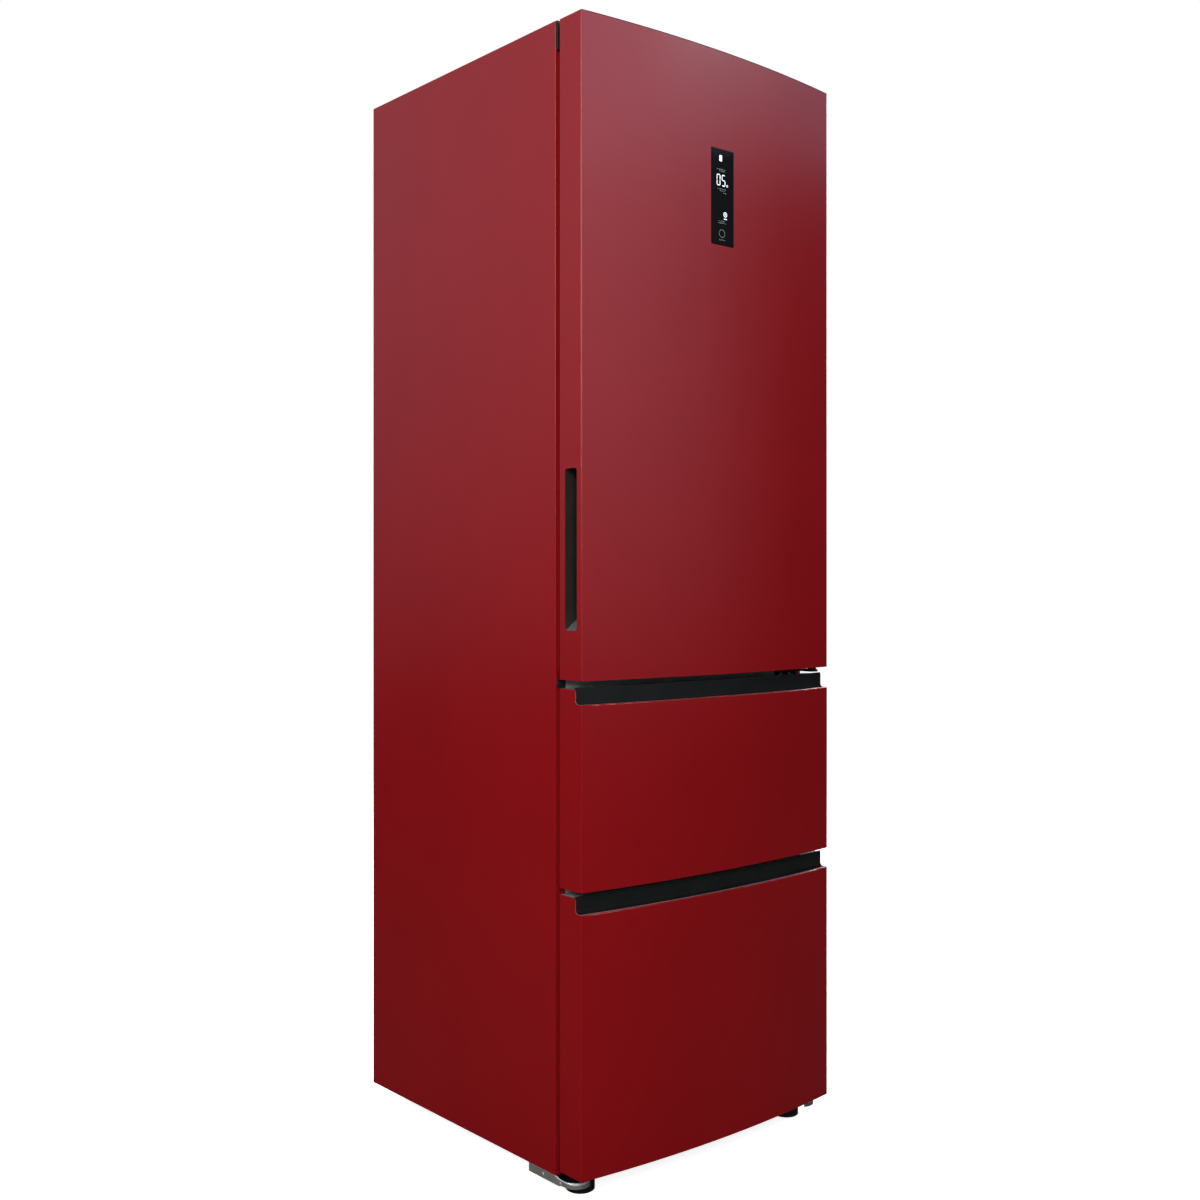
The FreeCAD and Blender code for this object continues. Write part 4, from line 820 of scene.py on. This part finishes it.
def bracket_strips():
    """Each front bracket's sheet: a strip along its plan, whose top falls and whose foot rises towards the
    nose, and a rolled top edge that swells round the nose, in pale zinc as a painted highlight."""
    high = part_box("foot_brackets")[1].z
    plan, outward = bracket_plan()
    forward = cabinet_front - plan[:, 1]
    top = high - (high - nose_top) * eased((forward - top_fall[0]) / (top_fall[1] - top_fall[0]))
    risen = eased((forward - foot_rise[0]) / (foot_rise[1] - foot_rise[0]))
    foot = flange_foot + (nose_foot - flange_foot) * risen
    inner = plan - bracket_sheet * outward
    wall = np.stack([
        np.column_stack([plan, foot]), np.column_stack([plan, top]),
        np.column_stack([inner, top]), np.column_stack([inner, foot]),
    ], axis=1)
    last = 4 * len(plan) - 4
    faces = grid_faces(len(plan), 4, close_columns=True).tolist()
    faces += [[0, 1, 2, 3], [last + 3, last + 2, last + 1, last]]
    strips = both_sides([(wall.reshape(-1, 3), faces)])
    made = piece("bracket_strips", strips, sheet_zinc, "cabinet")
    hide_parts("foot_brackets")
    # The rolled edge is pale zinc: a painted highlight along the strip's top.
    swell = np.concatenate([np.zeros(run_steps), np.sin(np.linspace(0, math.pi, nose_steps))])
    size = edge_thin + (edge_thick - edge_thin) * swell
    path = np.column_stack([plan - 0.8 * size[:, None] * outward, top - 0.5 * size])
    edges = both_sides([bead(path, size, steps=12)])
    piece("bracket_edges", edges, highlight_edge_zinc, "cabinet")


def bracket_shelves():
    """What each front bracket has behind its strip: a shelf that the stud goes through, a nut on it with six
    flats, and a seat under the cabinet, all black as painted shade behind the nose."""
    low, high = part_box("foot_brackets")
    foot_low, foot_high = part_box("left_front_foot")
    stud_x, stud_y = (foot_low.x + foot_high.x) / 2, (foot_low.y + foot_high.y) / 2
    off_axis = 1e-6
    turn = np.linspace(0, 2 * math.pi, shelf_steps, endpoint=False) + off_axis
    left = low.x + bracket_inset
    aside = np.where(np.cos(turn) > 0, foot_high.x - stud_x, left - stud_x) / np.cos(turn)
    along = np.where(np.sin(turn) > 0, high.y - stud_y, -shelf_ahead) / np.sin(turn)
    hole = stud_radius + stud_play
    shelf = holed_plate((stud_x, stud_y), np.minimum(aside, along), hole, *bracket_shelf)
    flat = math.pi / 3
    hexagon = nut_radius * math.cos(flat / 2) / np.cos(turn % flat - flat / 2)
    nut = holed_plate((stud_x, stud_y), hexagon, hole, bracket_shelf[1], bracket_shelf[1] + nut_tall)
    seat_low = (left, cabinet_front + seat_behind, high.z - bracket_sheet)
    seat = rounded_bar(seat_low, (foot_high.x, high.y, high.z), radius=0.9 * mm, axis="y")
    shelves = both_sides([shelf, nut, seat])
    # Black coat here is painted shade: the dark space behind the bracket's nose.
    piece("bracket_shelves", shelves, coat_black, "cabinet")


def front_feet():
    """Each levelling foot: circles about its stud, whose radius follows the level: a deep cup with a bevel
    at the floor and a round shoulder, and the stud up into its bracket."""
    stud = stud_radius * np.array([1.0, 1.0, stud_end_share, stud_end_share])
    for side in ("left", "right"):
        low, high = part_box(f"{side}_front_foot")
        stud_levels = [cup_levels[-1] + stud_start, high.z - stud_bevel, high.z - stud_crown, high.z]
        levels = np.concatenate([cup_levels, stud_levels])
        sizes = np.concatenate([(high.x - low.x) / 2 - cup_drop, stud])
        middle = ((low.x + high.x) / 2, (low.y + high.y) / 2)
        path = np.column_stack([np.tile(middle, (len(levels), 1)), levels])
        foot = [bead(path, sizes, steps=48)]
        made = piece(f"{side}_foot_cup", foot, abs_black, f"{side}_foot")
        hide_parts(f"{side}_front_foot")


def blank_plate():
    """The black plate over the spare hinge holes at the left of the door's gap, with a round plug."""
    middle = (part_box("upper_drawer_skin")[1].z + door_low.z) / 2
    face = cabinet_front - blank_thick
    left, right = -half_width + blank_run[0], -half_width + blank_run[1]
    plate_low = (left, face, middle - blank_tall / 2)
    plate_high = (right, cabinet_front, middle + blank_tall / 2)
    plate = rounded_bar(plate_low, plate_high, radius=1.0 * mm, axis="x")
    plug = rivet_head((left + blank_plug, face, middle), (0, -1, 0), radius=3.4 * mm, tall=1.5 * mm)
    piece("hinge_hole_plate", [plate, plug], abs_black, "cabinet")


def even_ring(half_x, half_y, radius, count):
    """Even steps round a rounded rectangle: for each, the place on the inner rectangle as a share of its
    half sides, and the direction out of the corner's circle."""
    run_x, run_y, turn = 2 * (half_x - radius), 2 * (half_y - radius), radius * math.pi / 2
    way = np.cumsum([0, run_y, turn, run_x, turn, run_y, turn, run_x, turn])
    place = np.arange(count) * way[-1] / count
    share_x = np.interp(place, way, [1, 1, 1, -1, -1, -1, -1, 1, 1])
    share_y = np.interp(place, way, [-1, 1, 1, 1, 1, -1, -1, -1, -1])
    angle = np.interp(place, way, np.array([0, 0, 1, 1, 2, 2, 3, 3, 4]) * math.pi / 2)
    return share_x, share_y, np.cos(angle), np.sin(angle)


def shell_rings(low, high, corner, rows, count, wave):
    """Rings in plan for (inset, wave share, level, shrink) rows: each ring is the rounded rectangle drawn in
    by its inset and its share of the wave, then shrunk towards the rectangle's middle line."""
    half_x, half_y = (high.x - low.x) / 2, (high.y - low.y) / 2
    share_x, share_y, out_x, out_y = even_ring(half_x, half_y, corner, count)
    rows = np.array(rows)
    inset = rows[:, :1] + rows[:, 1:2] * wave
    radius = np.maximum(corner - inset, least_corner)
    x = share_x * (half_x - inset - radius) + out_x * radius
    y = share_y * (half_y - inset - radius) + out_y * radius
    spine_x = np.clip(x, -max(half_x - half_y, 0), max(half_x - half_y, 0))
    spine_y = np.clip(y, -max(half_y - half_x, 0), max(half_y - half_x, 0))
    keep = rows[:, 3:]
    x = (high.x + low.x) / 2 + spine_x + keep * (x - spine_x)
    y = (high.y + low.y) / 2 + spine_y + keep * (y - spine_y)
    points = np.stack([x, y, rows[:, 2:3] + 0 * x], axis=-1).reshape(-1, 3)
    return points, grid_faces(len(rows), count, close_columns=True)


def tub_shell(low, high, taper, corner, flutes):
    """An open tub as one closed skin: from the middle of its underside out and up the fluted wall, over a
    rim that swells outwards, down the inside and back to the middle of its floor."""
    tall = high.z - low.z
    count = flute_steps * flutes
    wave = flute_depth * (0.5 - 0.5 * np.cos(np.arange(count) * 2 * math.pi / flute_steps))
    rise = np.linspace(low.z + tub_foot, high.z - tub_rim, 7)
    lean = tub_recess + taper * (high.z - rise) / tall
    foot = tub_recess + taper
    floor = low.z + tub_wall
    rows = [(foot + tub_foot, 0, low.z, keep) for keep in (0, 0.35, 0.7, 1)]
    rows += [(foot + tub_foot * 0.3, 0.5, low.z + tub_foot * 0.3, 1)]
    rows += [(inset, 1, level, 1) for inset, level in zip(lean, rise)]
    rows += [
        (tub_recess * 0.7, 0.3, high.z - tub_rim * 0.7, 1), (0, 0, high.z - tub_rim * 0.5, 1),
        (0, 0, high.z - rim_round, 1), (rim_round, 0, high.z, 1),
        (tub_wall + tub_recess - rim_round, 0, high.z, 1), (tub_wall + tub_recess, 0, high.z - rim_round, 1),
    ]
    rows += [(inset + tub_wall, 1, level, 1) for inset, level in zip(lean[::-1], rise[::-1])]
    rows += [(foot + tub_wall + tub_foot * 0.3, 0.5, floor + tub_foot * 0.3, 1)]
    rows += [(foot + tub_wall + tub_foot, 0, floor, keep) for keep in (1, 0.7, 0.35, 0)]
    return shell_rings(low, high, corner, rows, count, wave)


def rounded_bar(low, high, radius, axis):
    """A bar with rounded long edges along one axis: rings of a rounded rectangle from end to end, each end
    closed over a small bevel to its middle."""
    order = {"x": (1, 2, 0), "y": (0, 2, 1)}[axis]
    low, high = np.array(low), np.array(high)
    half = (high - low)[list(order)] / 2
    middle = ((high + low) / 2)[list(order)]
    rings = []
    ends = ((0, -half[2]), (1 - radius / half[0], -half[2]), (1, radius - half[2]),
            (1, half[2] - radius), (1 - radius / half[0], half[2]), (0, half[2]))
    for size, place in ends:
        outline = rounded_rectangle(half[0], half[1], radius, 4) * size
        local = np.column_stack([outline, np.full(len(outline), place)]) + middle
        rings.append(local[:, np.argsort(order)])
    return np.concatenate(rings), grid_faces(len(rings), len(rings[0]), close_columns=True)


def freezer_basket(body):
    """A fluted tub that hangs by a rounded strip along each side."""
    node = body + "_basket"
    low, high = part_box(node)
    shell_low, shell_high = low.copy(), high.copy()
    shell_low.x += hang_strip
    shell_high.x -= hang_strip
    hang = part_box(body + "_rails")[1].z
    parts = [tub_shell(shell_low, shell_high, taper=4 * mm, corner=14 * mm, flutes=44)]
    for x0, x1 in ((low.x, shell_low.x + strip_lap), (shell_high.x - strip_lap, high.x)):
        strip_low = (x0, low.y + strip_short, hang)
        strip_high = (x1, high.y - strip_short, hang + strip_thick)
        parts.append(rounded_bar(strip_low, strip_high, radius=1.2 * mm, axis="y"))
    made = piece(node + "_tub", parts, clear, body)
    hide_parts(node)


def crisper_tub():
    """The vegetable drawer: a fluted tub with a rounded pull along its front."""
    low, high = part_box("crisper_drawer")
    shell_low = low.copy()
    shell_low.y += pull_reach
    pull_low = (low.x + pull_inset, low.y, high.z - pull_thick)
    pull_high = (high.x - pull_inset, shell_low.y + pull_lap, high.z)
    tub = tub_shell(shell_low, high, taper=10 * mm, corner=16 * mm, flutes=40)
    parts = [tub, rounded_bar(pull_low, pull_high, radius=1.8 * mm, axis="x")]
    made = piece("crisper_tub", parts, clear, "crisper")
    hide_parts("crisper_drawer")


def door_shelves():
    """The bottle shelf and the three shelves over it: trays with rounded corners and a thick rim."""
    low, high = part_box("bottle_balcony")
    bottle_tray = [tub_shell(low, high, taper=0.5 * mm, corner=14 * mm, flutes=30)]
    made = piece("bottle_tray", bottle_tray, clear, "fridge_door")
    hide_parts("bottle_balcony")
    low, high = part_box("door_balconies")
    trays = []
    for level in np.linspace(low.z, high.z - tray_tall, tray_count):
        tray_low, tray_high = low.copy(), high.copy()
        tray_low.z, tray_high.z = level, level + tray_tall
        trays.append(tub_shell(tray_low, tray_high, taper=0.5 * mm, corner=14 * mm, flutes=30))
    made = piece("door_trays", trays, clear, "fridge_door")
    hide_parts("door_balconies")


def lamp_cover():
    """The lamp's lens: a rounded rectangle that curves in from the ceiling, with prisms across its face."""
    low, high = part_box("ceiling_light")
    rows = [(0, 0, high.z, keep) for keep in (0, 0.5, 1)]
    for turn in np.linspace(0, math.pi / 2, 6):
        level = low.z + lamp_bulge * (1 - math.sin(turn))
        rows.append((lamp_bulge * (1 - math.cos(turn)), 0, level, 1))
    rows += [(lamp_bulge, 0, low.z, keep) for keep in (0.85, 0.7, 0.55, 0.4, 0.2, 0)]
    points, faces = shell_rings(low, high, lamp_corner, rows, lamp_steps, np.zeros(lamp_steps))
    on_face = np.isclose(points[:, 2], low.z, rtol=0, atol=face_play)
    inner = on_face & (np.abs(points[:, 1] - (low.y + high.y) / 2) < prism_half_field)
    points[:, 2] += inner * prism_depth * np.abs(np.sin(points[:, 0] * math.pi / prism_pitch))
    made = piece("lamp_prisms", [(points, faces)], opal, "cabinet")
    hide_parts("ceiling_light")


def turned_head(place, outward, radii, heights, cross=0.0, steps=28):
    """A small turned head on a face: rings of the given radii and heights about the outward axis, closed at
    its middle and underneath; a cross is pressed in where both arms' distance is small."""
    outward = np.array(outward, dtype=float)
    aside = np.cross((0, 0, 1), outward)
    turn = np.linspace(0, 2 * math.pi, steps, endpoint=False)
    radii = np.array([0] + list(radii) + [radii[-1], 0])[:, None]
    heights = np.array([heights[0]] + list(heights) + [0, 0])[:, None]
    across, along = radii * np.cos(turn), radii * np.sin(turn)
    rise = heights + 0 * across
    if cross:
        arm = np.minimum(np.abs(across), np.abs(along))
        pressed = np.exp(-(arm / (cross * 0.25)) ** 4) * (radii < cross) * (heights > 0)
        rise = rise - 0.6 * heights * pressed
    points = (
        np.array(place) + across[..., None] * aside + along[..., None] * np.array([0, 0, 1])
        + rise[..., None] * outward
    )
    return points.reshape(-1, 3), grid_faces(len(radii), steps, close_columns=True)


def pan_head(place, outward, radius, tall):
    """A pan-head screw with a cross: nearly flat over the middle, round at the rim."""
    radii = radius * np.array([0.15, 0.3, 0.45, 0.6, 0.75, 0.88, 0.96, 1.0])
    heights = tall * np.array([1.0, 1.0, 0.99, 0.97, 0.92, 0.8, 0.6, 0.3])
    return turned_head(place, outward, radii, heights, cross=radius * 0.55)


def rivet_head(place, outward, radius, tall):
    """A domed rivet: its height falls as the square of the radius."""
    share = np.linspace(0.2, 1.0, 6)
    return turned_head(place, outward, radius * share, tall * (1 - 0.8 * share ** 2))


def fasteners():
    """Rivets on the feet's brackets, screws on the middle hinge and the bay's cover, plugs in the back."""
    bracket_low, bracket_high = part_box("foot_brackets")
    rivets = []
    for y, z in rivet_places:
        for x, outward in ((bracket_low.x, (-1, 0, 0)), (bracket_high.x, (1, 0, 0))):
            rivets.append(rivet_head((x, y, z), outward, radius=2.4 * mm, tall=0.9 * mm))
    # The rivets are pale zinc too: painted highlights.
    piece("bracket_rivets", rivets, highlight_edge_zinc, "cabinet")
    hinge_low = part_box("middle_hinge")[0]
    screws = []
    for x, z in hinge_screws:
        place = (hinge_low.x + x, cabinet_front - hinge_tab, hinge_low.z + z)
        screws.append(pan_head(place, (0, -1, 0), radius=3.6 * mm, tall=1.6 * mm))
    piece("hinge_screws", screws, zinc, "cabinet")
    cover_low, cover_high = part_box("bay_cover")
    screws = []
    for x in cover_screws:
        for z in (cover_low.z + cover_screw_inset, cover_high.z - cover_screw_inset):
            screws.append(pan_head((x, cover_high.y, z), (0, 1, 0), radius=4.2 * mm, tall=0.75 * mm))
    piece("cover_screws", screws, zinc, "cabinet")
    back_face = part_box("back_panel")[1].y
    plugs = []
    for x in (-plug_aside, plug_aside):
        for z in plug_levels:
            plugs.append(turned_head((x, back_face, z), (0, 1, 0), plug_radii, plug_heights, steps=36))
    piece("foam_plugs", plugs, nylon, "cabinet")


def set_camera():
    """A level camera at the photograph's place, with its lens and the small shift of its frame."""
    data = bpy.data.cameras.new("photo_camera")
    data.lens = camera_lens
    data.sensor_width = camera_sensor
    data.shift_x = camera_aside
    data.shift_y = camera_rise
    camera = bpy.data.objects.new("photo_camera", data)
    camera.location = camera_place
    camera.rotation_euler = (math.pi / 2, 0, -math.radians(camera_yaw))
    bpy.context.scene.collection.objects.link(camera)
    bpy.context.scene.camera = camera


def seen_rays(tree):
    """One where a ray comes from the camera or through glass, and one where it comes from a reflection."""
    path = add(tree, "LightPath")
    seen = add(tree, "Math", {
        0: path.outputs["Is Camera Ray"], 1: path.outputs["Is Transmission Ray"]
    }, operation="MAXIMUM")
    return seen.outputs["Value"], path.outputs["Is Glossy Ray"]


def pale_floor():
    """A pale floor that is white where light falls on it and greys under the object. It is dark for rays
    that light the object, so that its lift sends no light there."""
    material, tree = blank("studio_floor")
    dull = add(tree, "BsdfDiffuse", {"Color": linear("303030")})
    bright = add(tree, "BsdfDiffuse", {"Color": linear("E8E8E8")})
    lift = add(tree, "Emission", {"Color": (1, 1, 1, 1), "Strength": floor_lift})
    seen = add(tree, "AddShader", {0: bright.outputs["BSDF"], 1: lift.outputs["Emission"]})
    straight, mirrored = seen_rays(tree)
    share = add(tree, "Math", {0: mirrored, 1: floor_mirrored, 2: straight}, operation="MULTIPLY_ADD")
    mixed = add(tree, "MixShader", {
        0: share.outputs["Value"], 1: dull.outputs["BSDF"], 2: seen.outputs["Shader"]
    })
    add(tree, "OutputMaterial", {"Surface": mixed.outputs["Shader"]})
    steps = np.linspace(-floor_half, floor_half, floor_steps)
    x, y = np.meshgrid(steps, steps)
    points = np.column_stack([x.ravel(), y.ravel(), np.zeros(x.size)])
    mesh = bpy.data.meshes.new("studio_floor")
    mesh.from_pydata(points.tolist(), [], grid_faces(floor_steps, floor_steps).tolist())
    mesh.materials.append(material)
    floor = bpy.data.objects.new("studio_floor", mesh)
    bpy.context.scene.collection.objects.link(floor)


def mirrored_room(tree):
    """How bright the studio is in a reflection: each wall is lit where the direction comes near its own, all
    of them dim towards the floor, and the corner at the front right is left dark."""
    toward = add(tree, "TexCoord").outputs["Generated"]
    level = room_dark
    for wall, dark_from, lit_from, strength in room_walls:
        near = add(tree, "VectorMath", {0: toward, 1: wall}, operation="DOT_PRODUCT")
        lit = add(tree, "MapRange", {
            "Value": near.outputs["Value"], "From Min": dark_from, "From Max": lit_from, "To Max": strength
        }, interpolation_type="SMOOTHSTEP")
        level = add(tree, "Math", {0: lit.outputs["Result"], 1: level}, operation="ADD").outputs["Value"]
    height = add(tree, "SeparateXYZ", {"Vector": toward})
    rise = add(tree, "MapRange", {
        "Value": height.outputs["Z"], "From Min": room_rise[0], "From Max": room_rise[1]
    }, interpolation_type="SMOOTHSTEP")
    return add(tree, "Math", {0: level, 1: rise.outputs["Result"]}, operation="MULTIPLY").outputs["Value"]


def studio_world():
    """White behind the object, a room in its reflections, and a dimmer even light on it."""
    world = bpy.data.worlds.new("studio")
    world.use_nodes = True
    tree = world.node_tree
    tree.nodes.clear()
    straight, mirrored = seen_rays(tree)
    fill = add(tree, "Background", {"Color": linear("F8F9FB"), "Strength": fill_level})
    room = add(tree, "Background", {"Color": linear("E2EBFF"), "Strength": mirrored_room(tree)})
    around = add(tree, "MixShader", {
        0: mirrored, 1: fill.outputs["Background"], 2: room.outputs["Background"]
    })
    white_back = add(tree, "Background", {"Color": (1, 1, 1, 1), "Strength": 1.0})
    mixed = add(tree, "MixShader", {
        0: straight, 1: around.outputs["Shader"], 2: white_back.outputs["Background"]
    })
    add(tree, "OutputWorld", {"Surface": mixed.outputs["Shader"]})
    bpy.context.scene.world = world


def softbox(name, place, aim, wide, tall, power, colour, mirrored=True):
    """A soft light of a width and a height at a place, turned towards a point; it can be kept out of
    reflections."""
    data = bpy.data.lights.new(name, "AREA")
    data.shape = "RECTANGLE"
    data.size = wide
    data.size_y = tall
    data.energy = power
    data.color = linear(colour)[:3]
    light = bpy.data.objects.new(name, data)
    light.location = place
    toward = np.array(aim) - np.array(place)
    yaw = math.atan2(toward[0], -toward[1])
    tilt = math.atan2(math.hypot(toward[0], toward[1]), -toward[2])
    light.rotation_euler = (tilt, 0, yaw + math.pi)
    light.visible_glossy = mirrored
    bpy.context.scene.collection.objects.link(light)


dress_nodes()
display_glass()
display_marks()
door_seal("door_gasket", "fridge_door")
cap_edge()
for drawer in ("upper_drawer", "lower_drawer"):
    door_seal(drawer + "_gasket", drawer)
    sheet_edge(drawer)
    freezer_basket(drawer)
bracket_strips()
bracket_shelves()
front_feet()
blank_plate()
crisper_tub()
door_shelves()
lamp_cover()
fasteners()

set_camera()
pale_floor()
studio_world()
# Each light: its place, the point it is turned to, its width and height, its power and its colour
softbox("key_softbox", (-2.2, -2.8, 2.1), (-0.2, 0, 1.1), 1.6, 1.6, 102, "FFFFFF", mirrored=False)
softbox("side_softbox", (-3.2, 0.1, 2.3), (-0.2, 0, 1.1), 1.6, 1.6, 46, "FFFAF4")
softbox("front_softbox", (1.6, -2.0, 2.9), (0, -0.3, 1.5), 3.7, 0.9, 7.6, "CCDDFF")
softbox("high_softbox", (2.3, -2.2, 4.0), (0.1, -0.3, 1.1), 1.6, 1.6, 26, "FFFFFF")
softbox("far_softbox", (3.2, 0.9, 2.4), (0.3, 0, 1.1), 1.6, 1.6, 60, "F6F8FF")
softbox("back_softbox", (0.8, 3.2, 2.6), (0, 0.3, 1.0), 1.8, 1.8, 60, "F6F8FF")

bpy.context.scene.view_settings.view_transform = "Standard"
